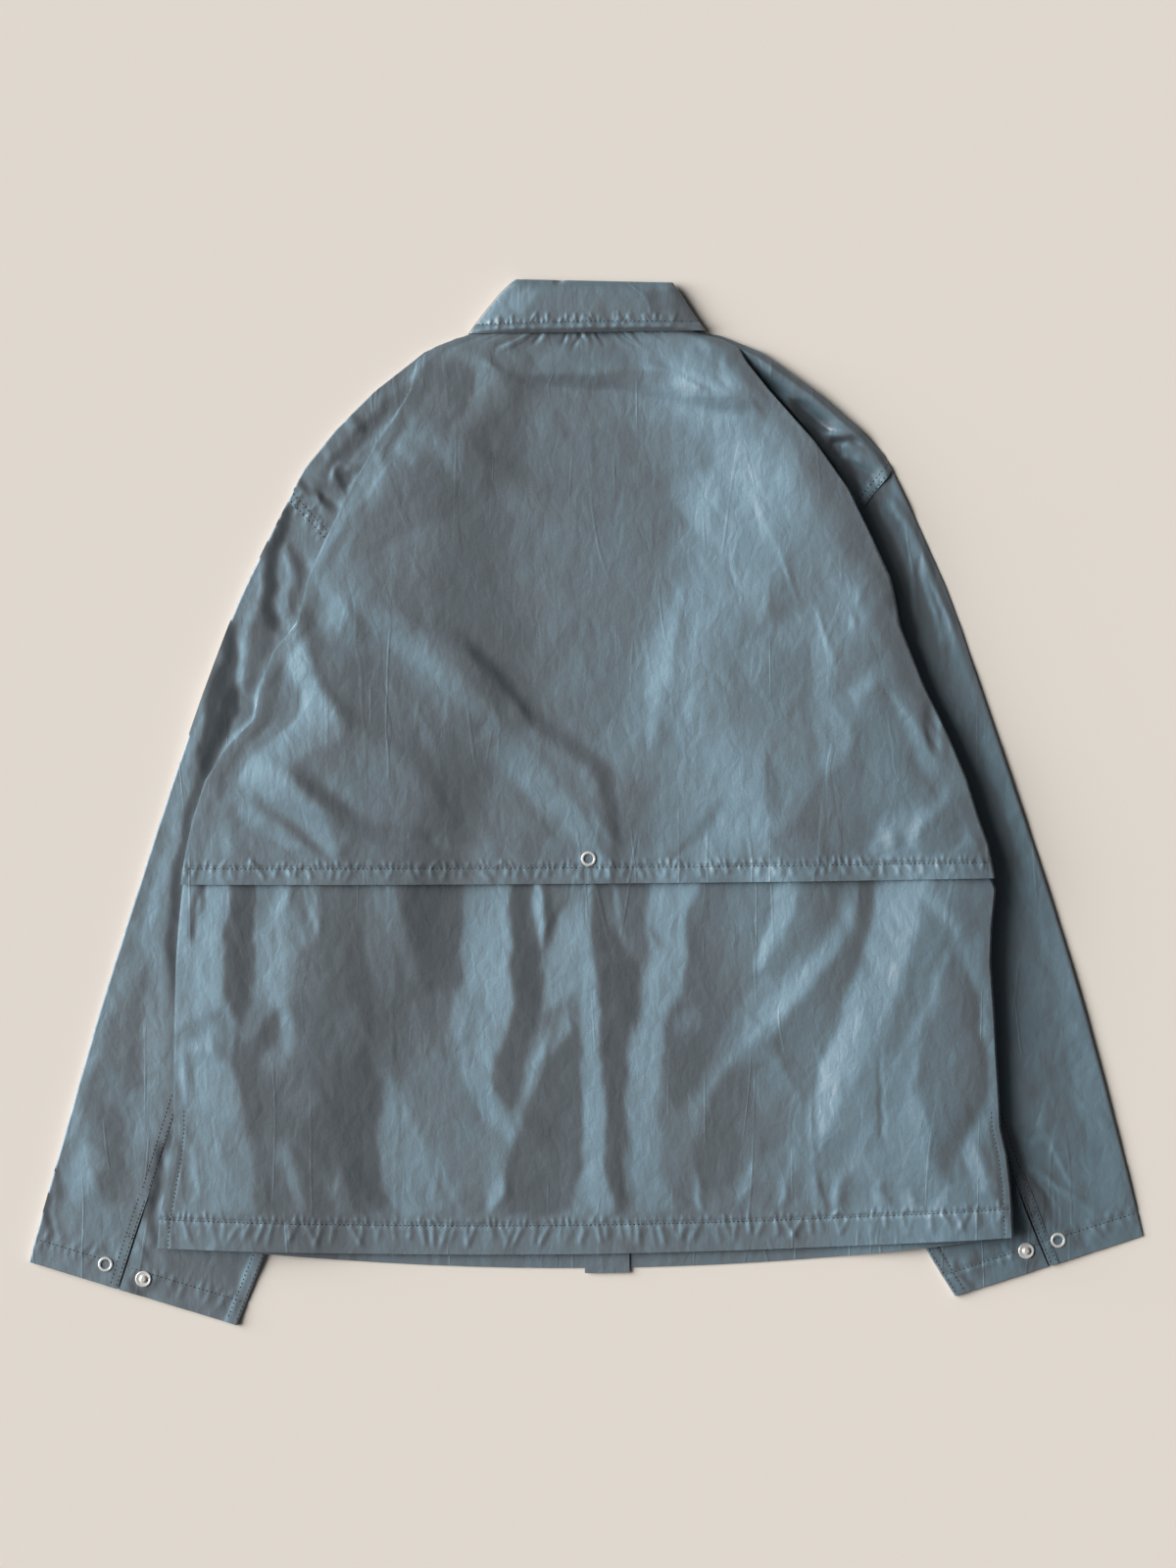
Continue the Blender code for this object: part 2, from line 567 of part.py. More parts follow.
def make_yoke(side, table, sleeve_table):
    """The shoulder piece beyond the back's fold, turned under along the shoulder and sewn to the sleeve."""
    last, seam_row = table[-1], sleeve_table[0]
    before = Vector((last.outer_x - seam_row.outer_x, last.outer_y - seam_row.outer_y)).normalized()
    end = last._replace(
        outer_x=seam_row.outer_x + before.x * YOKE_SEAM,
        outer_y=seam_row.outer_y + before.y * YOKE_SEAM,
        inner_x=seam_row.inner_x + before.x * YOKE_SEAM,
        inner_y=seam_row.inner_y + before.y * YOKE_SEAM,
    )
    grid = []
    for row in table + [end]:
        outer, inner = Vector((row.outer_x, row.outer_y)), Vector((row.inner_x, row.inner_y))
        width = (inner - outer).length
        along = (inner - outer).normalized()

        def height(away):
            shoulder = 2 * SLEEVE_ROUND
            return shoulder + (SLEEVE_CROWN - shoulder) * smooth((away - SLEEVE_ROUND) / SLEEVE_SLOPE)

        tops = [SLEEVE_ROUND + (width * row.top - SLEEVE_ROUND) * i / 5 for i in (5, 4, 3, 2, 1)]
        unders = [width * row.under * i / 3 for i in (1, 2, 3)]
        grid.append(folded_section(outer, along, tops, unders, SLEEVE_ROUND, 0.0, height))
    cloth_piece(side + "_yoke", facing(grid, side == "left"))


def make_collar_piece(name, table, round_radius):
    """A band of the collar: across the back, round both side folds, and along the floor to its front ends."""
    grid = []
    for row in table:
        left, right = Vector((row.left_x, row.left_y)), Vector((row.right_x, row.right_y))
        width = (right - left).length
        along = (right - left).normalized()
        radius = min(round_radius, (row.high - row.low) / 2)
        tops = [width * share for share in (0.5, 0.4, 0.3, 0.2, 0.12)]
        unders = [width * COLLAR_OPEN * i / 3 for i in (1, 2, 3)]

        def height(away):
            shoulder = row.low + 2 * radius
            return shoulder + (row.high - shoulder) * smooth((away - radius) / COLLAR_SLOPE)

        first = folded_section(left, along, tops, unders, radius, row.low, height)
        second = folded_section(right, -along, tops, unders, radius, row.low, height)
        ring = list(reversed(first)) + second[1:]
        middle = (left + right) / 2
        bowed = []
        for x, y, z in ring:
            from_middle = min(1.0, abs(x - middle.x) / (width / 2))
            bowed.append((x, y + row.bow * (1 - from_middle**8), z))
        grid.append(bowed)
    cloth_piece(name, list(reversed(grid)))


def turned_piece(name, profile, closed):
    """A metal piece turned round +Z from points (radius, height) that run down its outer side."""
    mesh = bpy.data.meshes.new(name)
    edges = [(i, i + 1) for i in range(len(profile) - 1)]
    if closed:
        edges.append((len(profile) - 1, 0))
    mesh.from_pydata([(radius, 0, height) for radius, height in profile], edges, [])
    piece = add_object(name, mesh, material(name + "_steel", STEEL_COLOUR, 0.25, 1.0))
    turn = piece.modifiers.new("turn", "SCREW")
    turn.steps = turn.render_steps = TURN_STEPS
    turn.use_merge_vertices = True
    turn.merge_threshold = 0.00005
    turn.use_normal_calculate = True
    return piece


def ring_profile():
    """A flat rim with a rounded crown, round the disc of cloth in its eye."""
    middle = (SNAP_RADIUS + SNAP_EYE) / 2
    return [
        (SNAP_EYE, 0.0),
        (SNAP_EYE, SNAP_RIM * 0.6),
        (middle, SNAP_RIM),
        (SNAP_RADIUS, SNAP_RIM * 0.6),
        (SNAP_RADIUS, 0.0),
    ]


def stud_profile():
    """A dished flange with a rounded knob in its middle."""
    return [(STUD_RADIUS * point.radius_share, STUD_HEIGHT * point.height_share) for point in STUD_TURNING]


def seat_on(piece, panel, x, y):
    """Sets a piece on a panel's upper face at (x, y), square to the cloth there."""
    mesh = panel.data
    tree = BVHTree.FromPolygons([v.co for v in mesh.vertices], [p.vertices for p in mesh.polygons])
    place, normal, _, _ = tree.ray_cast(Vector((x, y, 1)), Vector((0, 0, -1)))
    if normal.z < 0:
        normal = -normal
    piece.location = place + normal * SNAP_SEAT
    piece.rotation_mode = "QUATERNION"
    piece.rotation_quaternion = normal.to_track_quat("Z", "Y")


def make_snaps():
    for snap in SNAPS:
        if snap.kind == "ring":
            piece = turned_piece(snap.name, ring_profile(), closed=True)
        else:
            piece = turned_piece(snap.name, stud_profile(), closed=False)
        seat_on(piece, bpy.data.objects[snap.panel], snap.x, snap.y)


def main():
    for old in list(bpy.data.objects):
        bpy.data.objects.remove(old)
    for side, sleeve, yoke, seam, folds in (
        ("left", LEFT_SLEEVE, LEFT_YOKE, LEFT_SEAM, LEFT_SLEEVE_FOLDS),
        ("right", RIGHT_SLEEVE, RIGHT_YOKE, RIGHT_SEAM, RIGHT_SLEEVE_FOLDS),
    ):
        make_sleeve(side, sleeve, seam, folds)
        make_yoke(side, yoke, sleeve)
    make_fronts()
    make_lower_back()
    make_upper_back()
    make_collar_piece("collar_stand", COLLAR_STAND, COLLAR_ROUND * 0.6)
    make_collar_piece("collar_leaf", COLLAR_LEAF, COLLAR_ROUND)
    make_snaps()


main()
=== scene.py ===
"""Looks of a shirt jacket of shot taffeta, laid flat with its back up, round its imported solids.

Each cloth piece is a thin shell on the form of its solid: its edges and heights are read from the frame, and
the folds, creases and seam puckers are added to them. Units are metres in the frame of the solids. Creases
and flanks are listed in millimetres.
"""

import math
import random
from collections import namedtuple

import bpy
import numpy as np
from bpy.props import FloatProperty, FloatVectorProperty, IntProperty, PointerProperty
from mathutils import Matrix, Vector
from mathutils.bvhtree import BVHTree


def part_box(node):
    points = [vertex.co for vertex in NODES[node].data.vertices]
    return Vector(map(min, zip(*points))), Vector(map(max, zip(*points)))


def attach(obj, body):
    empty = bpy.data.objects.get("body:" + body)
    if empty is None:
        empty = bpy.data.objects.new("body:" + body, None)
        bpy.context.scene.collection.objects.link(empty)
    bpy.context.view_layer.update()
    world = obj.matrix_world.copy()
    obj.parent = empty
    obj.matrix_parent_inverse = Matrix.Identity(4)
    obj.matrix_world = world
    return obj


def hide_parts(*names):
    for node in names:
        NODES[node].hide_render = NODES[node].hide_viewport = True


bl_info = {
    "name": "Shirt jacket",
    "version": (1, 0, 0),
    "blender": (4, 5, 0),
    "location": "View3D > Sidebar > Jacket",
    "description": "Builds the cloth, sewing and snaps of a shirt jacket laid flat",
    "category": "Object",
}

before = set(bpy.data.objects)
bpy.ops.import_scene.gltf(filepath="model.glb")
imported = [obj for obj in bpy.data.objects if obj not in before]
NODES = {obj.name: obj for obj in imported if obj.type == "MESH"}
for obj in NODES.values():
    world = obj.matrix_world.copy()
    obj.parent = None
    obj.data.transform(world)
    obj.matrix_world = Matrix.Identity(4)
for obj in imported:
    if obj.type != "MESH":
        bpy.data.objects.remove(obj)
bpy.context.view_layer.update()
MM = 0.001

# Plan direction towards the light, from which the flanks' tilts are counted
LIGHT_WAY = np.array([-0.94, 0.34])

# How far creases wander from their listed lines, in millimetres
STRAY = 2.2

# Creases in millimetres: the width of the flank that faces the light and of the one behind, the height of
# the crest, which is below 0 in a trough, and the places that the crest passes
Crease = namedtuple("Crease", "lit dark height points")
# Flanks of the broad folds: how far each tilts towards the light, below 0 away from it, and the outline that
# it fills in millimetres. A later one lies over an earlier one.
Flank = namedtuple("Flank", "tilt outline")


def pairs(numbers):
    return list(zip(numbers[::2], numbers[1::2]))


def crease_table(*rows):
    """Creases from rows of their two widths, their height, and the x and y of each place in turn."""
    return [Crease(lit, dark, height, pairs(places)) for lit, dark, height, *places in rows]


def flank_table(*rows):
    """Flanks from rows of their tilt, and the x and y of each place of the outline in turn."""
    return [Flank(tilt, pairs(places)) for tilt, *places in rows]


UPPER_BACK_CREASES = crease_table(
    # under the collar
    (4, 4, -1.3, -162, 281, -145, 273, -129, 263),
    (4, 4, 0.9, -163, 279, -159, 266, -157, 252),
    (10, 8, 1.0, 120, 318, 134, 312, 137, 303, 134, 294),
    (10, 10, 1.0, 120, 360, 110, 348, 104, 338),
    # gathers in the neck seam
    (4, 4, 1.0, -58, 370, -66, 366, -80, 360),
    (4, 3, 1.5, -36, 371, -52, 363, -71, 356),
    (3, 3, 0.9, -30, 371, -31, 357),
    (3, 3, 1.0, -20, 371, -14, 359),
    (3, 3, 1.1, -12, 371, -7, 359),
    (3, 3, 1.0, -5, 371, 3, 360),
    (3, 3, 0.9, 5, 371, 13, 359),
    (4, 3, 1.3, 21, 372, 30, 362, 49, 356),
    (3, 3, 0.9, 33, 372, 39, 362),
    (3, 3, 0.8, 42, 372, 51, 365),
    # right side
    (5, 5, 0.5, 118, 264, 132, 240, 146, 208, 156, 184),
    (6, 8, 0.6, 95, 247, 106, 234, 116, 222),
    (5, 6, 0.5, 64, 232, 78, 214),
    (10, 10, 0.6, 210, 178, 218, 160, 212, 144),
    (4, 4, 0.6, 222, 184, 232, 174, 238, 168),
    (3, 4, 0.6, 152, 200, 163, 168, 169, 148),
    (3, 4, 0.7, 180, 157, 185, 138, 191, 114),
    (4, 4, 0.6, 201, 162, 206, 144, 213, 124),
    (5, 5, 0.5, 176, 98, 160, 78, 143, 60),
    (4, 5, -1.6, 268, 84, 266, 64, 273, 40),
    (4, 4, 1.2, 275, 72, 281, 46, 277, 34),
    (10, 5, 1.4, 292, 10, 276, -6, 263, -18, 256, -38),
    (8, 8, 1.2, 238, -18, 242, -38),
    (8, 8, 1.2, 300, -14, 306, -38),
    (10, 10, 0.9, 222, -26, 228, -44),
    (8, 10, 1.6, 4, -2, 14, -19, 24, -42),
    # left side
    (4, 4, -0.7, -90, 114, -62, 90, -38, 62, -15, 42),
    (8, 8, -0.8, -62, 18, -35, -8, -8, -38),
    (4, 5, 0.6, -194, 170, -183, 148, -173, 126),
    (4, 4, 0.5, -165, 150, -161, 128),
    (10, 8, 1.2, -300, 14, -286, -4, -268, -22),
    (10, 10, 1.2, -262, -2, -240, -16, -218, -30),
    (8, 8, 1.0, -284, -18, -276, -32, -272, -46),
)
# The gathers below the neck seam
NECK_GATHERS = crease_table(
    (3.0, 4.0, -0.9, -43, 373, -52, 364, -74, 356),
    (2.5, 3.0, -0.7, -34, 373, -37, 364, -44, 358),
    (2.5, 2.5, -0.8, -15, 374, -16, 365, -20, 357),
    (2.5, 3.0, -0.8, -3, 374, -5, 364, -13, 355),
    (2.0, 2.5, -0.7, 7, 374, 9, 365, 16, 358),
    (3.0, 4.0, -0.9, 22, 374, 28, 364, 45, 356),
    (2.0, 2.5, -0.6, 36, 374, 38, 366, 44, 361),
    (2.5, 2.5, -0.5, -62, 372, -66, 366, -82, 362),
    (2.0, 2.0, -0.5, 56, 373, 58, 366, 64, 361),
)

LOWER_BACK_CREASES = crease_table(
    (6, 10, 1.1, -317, -188, -313, -230, -311, -262, -304, -272, -306, -330),
    (5, 5, -1.6, -298, -50, -303, -80, -309, -106),
    (4, 4, 0.9, -219, -50, -213, -85, -204, -112),
    (6, 6, 0.8, -246, -95, -236, -78, -228, -60),
    (2.5, 2.5, 0.25, -153, -45, -151, -140, -150, -222, -147, -335),
    (9, 9, 1.0, -119, -268, -108, -300, -94, -322),
    (2, 2, 0.4, -117, -278, -118, -318),
    (10, 6, 1.6, -38, -45, -32, -90, -31, -120),
    (8, 6, 1.2, -22, -168, -36, -200, -46, -230),
    (8, 8, 1.1, -242, -262, -226, -298, -214, -322),
    (7, 7, 0.9, -196, -270, -190, -292, -202, -318),
    (7, 6, 1.1, -66, -288, -63, -302, -74, -324),
    (4, 4, 1.0, 18, -48, 20, -88, 26, -108),
    (3, 3, -0.6, 231, -185, 232, -230, 233, -275),
    (3, 3, -0.7, 181, -230, 183, -280, 185, -325),
    (8, 10, 1.3, 296, -262, 310, -288, 322, -314),
    (5, 5, 1.0, 129, -276, 128, -300, 120, -320),
    (6, 6, 1.0, 158, -286, 152, -322),
    (5, 5, 0.8, 86, -288, 90, -326),
    (7, 7, 1.0, 206, -282, 200, -300, 194, -322),
    (6, 6, 0.9, 225, -290, 236, -318),
    (5, 5, 0.7, 250, -300, 262, -316),
    (3, 3, 0.5, 118, -163, 140, -180, 158, -210, 171, -234),
    (3, 3, 0.4, 122, -196, 142, -176, 163, -152),
)
LEFT_SLEEVE_CREASES = crease_table(
    (4, 4, 0.9, -244, 157, -233, 142),
    (6, 5, 1.4, -279, 80, -272, 70, -265, 60),
    (4, 4, -1.6, -414, -282, -418, -308, -421, -326, -414, -344),
    (5, 5, 1.2, -355, -346, -346, -362),
    (6, 6, 1.0, -335, -345, -325, -372),
    (6, 6, -2.5, -331, -258, -337, -300, -339, -342),
)
RIGHT_SLEEVE_CREASES = crease_table(
    (4, 4, 1.4, 241, 260, 250, 240, 263, 219),
    (4, 5, 1.2, 238, 243, 247, 226, 254, 214),
    (2.5, 2.5, 1.1, 263, 214, 264, 196, 272, 178, 281, 158, 288, 138, 294, 120),
    (2.5, 2.5, 1.0, 261, 206, 266, 182, 272, 160, 277, 140, 281, 118, 284, 100),
    (2.5, 3, 1.0, 260, 204, 256, 182, 256, 160, 258, 136),
    (3, 4, 0.5, 361, -258, 371, -280, 381, -302),
    (4, 4, 0.9, 338, -264, 352, -268, 361, -272),
    (3, 4, 0.8, 361, -240, 357, -262),
    (4, 4, 1.3, 342, -281, 362, -295, 380, -308, 397, -319),
    (3, 3, -0.9, 348, -290, 362, -306),
    (4, 4, 1.1, 352, -290, 358, -312, 366, -330, 374, -344),
)
LEFT_YOKE_CREASES = crease_table(
    (4, 4, 1.6, -198, 248, -196, 262, -188, 266, -178, 260),
    (5, 6, 1.4, -218, 252, -209, 236, -198, 226),
    (3, 3, 1.2, -209, 246, -208, 234),
    (5, 5, -1.2, -189, 262, -188, 244),
    (8, 8, 1.0, -166, 324, -158, 304),
    (8, 8, 1.0, -184, 306, -176, 290),
    (8, 8, 1.1, -205, 286, -196, 268),
    (6, 6, -1.0, -160, 320, -156, 304),
)
RIGHT_YOKE_CREASES = crease_table(
    (4, 4, 1.6, 168, 300, 182, 290, 200, 286, 214, 287),
    (5, 6, -3.0, 172, 298, 188, 282, 208, 280),
    (4, 4, 1.5, 196, 270, 210, 270, 221, 266),
    (4, 4, 1.3, 198, 262, 214, 256),
)

UPPER_BACK_FLANKS = flank_table(
    # under the collar
    (-0.04, -60, 292, -20, 292, 20, 294, 60, 300, 100, 304, 134, 304, 138, 296, 130, 282, 110, 268, 95, 262,
        80, 262, 70, 245, 40, 240, 0, 240, -40, 240, -60, 258, -80, 268),
    (0.14, -128, 346, -140, 344, -152, 312, -158, 296, -148, 305, -138, 325),
    (-0.09, -125, 346, -112, 347, -88, 342, -86, 330, -90, 312, -100, 300, -120, 292, -150, 290, -154, 293,
        -146, 308, -138, 325, -130, 340),
    (0.08, -84, 344, -76, 354, -72, 344, -66, 334, -62, 322, -64, 308, -74, 302, -86, 304, -92, 316, -86,
        330),
    (-0.05, -110, 366, -80, 368, -50, 368, -66, 361, -90, 358),
    (0.07, -72, 352, -60, 356, -44, 350, -52, 345, -62, 342, -70, 346),
    (0.05, -40, 350, -20, 362, -18, 350, -36, 342),
    (0.04, 60, 340, 80, 350, 76, 338),
    (-0.13, -77, 354, -70, 343, -60, 337, -30, 335, 0, 337, 40, 341, 64, 339, 88, 330, 105, 320, 122, 315,
        135, 313, 137, 307, 120, 305, 85, 307, 66, 312, 50, 318, 30, 322, 0, 323, -25, 324, -50, 329, -66,
        335, -74, 343),
    (-0.02, 70, 334, 86, 328, 96, 318, 80, 318, 68, 326),
    (0.08, 82, 367, 92, 366, 96, 352, 90, 350),
    (0.10, 104, 352, 120, 360, 124, 348, 140, 335, 152, 318, 165, 300, 178, 282, 184, 268, 170, 272, 160,
        262, 152, 272, 138, 290, 138, 310, 128, 318, 112, 322, 102, 336),
    (0.07, -142, 286, -120, 285, -96, 284, -84, 275, -80, 262, -86, 246, -92, 242, -100, 252, -112, 268,
        -126, 280),
    (-0.11, -136, 289, -118, 293, -100, 294, -88, 290, -80, 276, -84, 280, -98, 288, -120, 288),
    (-0.05, -80, 300, -62, 296, -40, 298, -62, 290, -74, 294),
    (0.11, -164, 276, -154, 282, -160, 262, -172, 240, -190, 215, -206, 188, -216, 176, -216, 186, -196,
        222, -176, 254),
    (-0.06, -158, 276, -146, 270, -136, 264, -124, 272, -110, 264, -104, 250, -100, 235, -104, 225, -120,
        220, -146, 206, -170, 196, -188, 190, -176, 215, -165, 240, -156, 262),
    (0.03, -96, 240, -84, 248, -60, 252, -40, 238, -60, 225, -90, 222),
    (0.03, 72, 252, 84, 256, 110, 258, 130, 262, 140, 240, 150, 215, 160, 190, 140, 182, 120, 190, 100, 200,
        84, 215, 72, 232),
    (0.06, 145, 282, 156, 270, 168, 262, 160, 240, 150, 250),
    (0.05, 128, 220, 146, 214, 158, 188, 146, 180, 128, 195),
    (-0.03, 172, 262, 186, 258, 196, 238, 210, 218, 222, 190, 205, 190, 186, 215, 176, 240),
    # left side
    (-0.04, -160, 182, -104, 178, -92, 160, -94, 140, -120, 142, -150, 148, -170, 160),
    (0.015, -98, 182, -40, 182, -20, 150, -20, 60, -46, 84, -70, 108, -96, 140),
    (0.10, -216, 178, -206, 178, -198, 170, -204, 158, -212, 166),
    (-0.06, -206, 110, -200, 95, -190, 80, -180, 68, -168, 55, -150, 45, -140, 30, -122, 10, -108, -8, -106,
        5, -112, 30, -118, 60, -122, 85, -140, 100, -160, 110, -180, 112),
    (0.09, -200, 168, -190, 158, -186, 150, -190, 140, -198, 128, -202, 142),
    (-0.06, -184, 155, -176, 140, -166, 122, -172, 122, -184, 140),
    (-0.12, -222, 150, -214, 150, -206, 130, -208, 112, -200, 95, -192, 80, -180, 70, -165, 55, -148, 44,
        -160, 48, -178, 58, -188, 58, -205, 92, -218, 118, -226, 132),
    (0.13, -232, 138, -225, 130, -213, 103, -202, 80, -190, 60, -189, 53, -197, 46, -214, 40, -228, 34,
        -234, 26, -228, 14, -216, 2, -206, -8, -198, -22, -192, -36, -200, -42, -214, -28, -232, -14, -250,
        2, -262, 6, -272, 12, -273, 24, -262, 38, -244, 48, -230, 62, -222, 80, -223, 90, -232, 100, -240,
        116),
    (-0.08, -243, 112, -234, 100, -224, 90, -224, 80, -230, 64, -244, 50, -258, 42, -262, 58, -256, 75,
        -250, 92),
    (-0.05, -296, 18, -288, 35, -276, 44, -262, 42, -268, 26, -276, 18, -274, 4, -288, 0, -294, 8),
    (-0.04, -296, 0, -288, -4, -276, -2, -278, -20, -288, -16, -298, -6),
    (0.04, -228, 30, -214, 36, -198, 28, -186, 16, -182, 4, -186, -4, -196, 6, -208, 16),
    (-0.14, -233, 26, -224, 24, -208, 14, -198, 6, -188, -2, -178, -10, -165, -16, -140, -19, -124, -24,
        -120, -36, -130, -32, -146, -26, -170, -24, -192, -16, -206, -4, -222, 10),
    (-0.06, -262, 4, -246, -2, -230, -14, -212, -32, -206, -42, -214, -42, -226, -28, -242, -12, -258, -2),
    (0.10, -272, -2, -262, -4, -246, -14, -232, -24, -220, -36, -232, -38, -250, -26, -266, -16, -272, -10),
    (0.02, -106, 60, -92, 62, -70, 44, -52, 20, -36, -2, -50, -20, -90, -22, -104, 0),
    (0.06, -134, 72, -126, 62, -116, 35, -104, 0, -100, -10, -106, 8, -118, 30, -128, 52),
    (0.09, -166, 147, -158, 142, -140, 130, -120, 116, -100, 104, -88, 92, -78, 74, -62, 58, -44, 40, -28,
        22, -14, 4, -8, -4, 4, -22, 14, -40, 22, -58, 4, -58, -4, -38, -20, -16, -44, 10, -58, 28, -70, 46,
        -84, 62, -98, 72, -110, 82, -118, 96, -136, 108, -152, 122, -162, 134),
    (-0.11, -150, 144, -130, 140, -100, 136, -84, 122, -66, 102, -46, 80, -26, 60, -4, 48, 20, 28, 25, 0,
        27, -36, 18, -14, 10, 12, -6, 32, -22, 44, -40, 62, -56, 82, -74, 102, -92, 118, -110, 128, -132,
        134),
    (-0.20, -100, 131, -88, 122, -70, 102, -52, 82, -36, 64, -40, 60, -56, 80, -76, 102, -94, 120),
    # right side
    (0.025, 90, 40, 120, 60, 140, 60, 160, 70, 176, 60, 166, 30, 160, 0, 150, -20, 130, -30, 112, 0, 104,
        20),
    (-0.05, 28, -36, 38, -18, 50, 2, 62, 24, 66, 34, 56, 20, 44, 4, 32, -16),
    (0.05, 80, -40, 92, -24, 106, -6, 118, -14, 124, -40, 104, -50, 88, -50),
    (-0.09, 58, -42, 70, -38, 84, -22, 98, -4, 108, 4, 104, -4, 92, -20, 78, -38, 70, -46),
    (0.05, 46, 110, 56, 140, 70, 172, 76, 168, 72, 140, 66, 110, 58, 80, 50, 40, 44, 38, 44, 60, 46, 85),
    (-0.04, 76, 168, 84, 150, 80, 110, 74, 75, 66, 48, 54, 36, 60, 70, 68, 105),
    (0.07, 114, 184, 138, 186, 158, 182, 142, 166, 140, 142, 134, 138, 132, 158, 118, 164),
    (-0.04, 142, 160, 160, 158, 176, 152, 160, 142, 146, 142),
    (0.05, 124, 128, 140, 130, 160, 146, 178, 156, 180, 140, 172, 120, 150, 118, 138, 104, 130, 90, 122,
        105),
    (-0.04, 140, 40, 150, 30, 152, 0, 148, -20, 140, 0),
    (0.06, 180, 150, 192, 140, 192, 118, 196, 100, 190, 82, 200, 70, 206, 50, 204, 34, 190, 22, 180, 28,
        176, 60, 176, 100),
    (-0.06, 192, 116, 206, 126, 226, 124, 236, 108, 222, 106, 212, 100, 200, 84, 194, 92),
    (0.06, 204, 150, 216, 150, 228, 158, 222, 140, 208, 130),
    (0.05, 202, 160, 208, 172, 214, 166, 210, 150, 204, 148),
    (-0.15, 232, 156, 238, 152, 244, 162, 240, 168, 234, 164),
    (-0.06, 222, 186, 236, 172, 232, 168, 222, 178),
    (-0.02, 240, 140, 250, 115, 258, 98, 268, 82, 258, 84, 246, 96, 238, 110, 228, 120),
    (0.09, 218, 100, 226, 104, 222, 90, 212, 80, 204, 86, 212, 92),
    (-0.08, 229, 98, 220, 82, 206, 58, 207, 42, 200, 28, 184, 20, 172, 8, 164, -12, 148, -28, 136, -42, 170,
        -46, 214, -44, 222, -30, 232, -14, 248, -4, 258, 4, 262, 22, 256, 40, 246, 62, 238, 84),
    (0.10, 234, 92, 244, 84, 254, 66, 266, 44, 272, 36, 282, 32, 292, 30, 284, 22, 270, 24, 262, 32, 258,
        44, 248, 66),
    (0.13, 272, 78, 278, 62, 284, 44, 290, 34, 276, 38, 270, 36, 276, 52, 272, 64),
    (-0.22, 267, 82, 270, 76, 271, 58, 274, 42, 270, 38, 265, 52, 265, 68),
    (0.10, 294, 30, 284, 18, 276, 2, 262, -12, 250, -30, 254, -38, 262, -22, 272, -12, 284, -2, 294, 8, 298,
        2, 296, 18),
    (-0.05, 262, 20, 272, 14, 276, 4, 266, -4, 258, 2),
    (0.09, 222, -38, 232, -18, 238, -22, 240, -42, 228, -46),
    (-0.06, 262, -40, 270, -20, 284, -12, 292, -14, 292, -30, 284, -40),
    (0.09, 294, -8, 300, -20, 300, -34, 290, -40, 288, -36, 296, -24),
    (0.09, -92, 60, -62, 52, -38, 30, -32, 12, -50, 14, -74, 28, -94, 46),
)
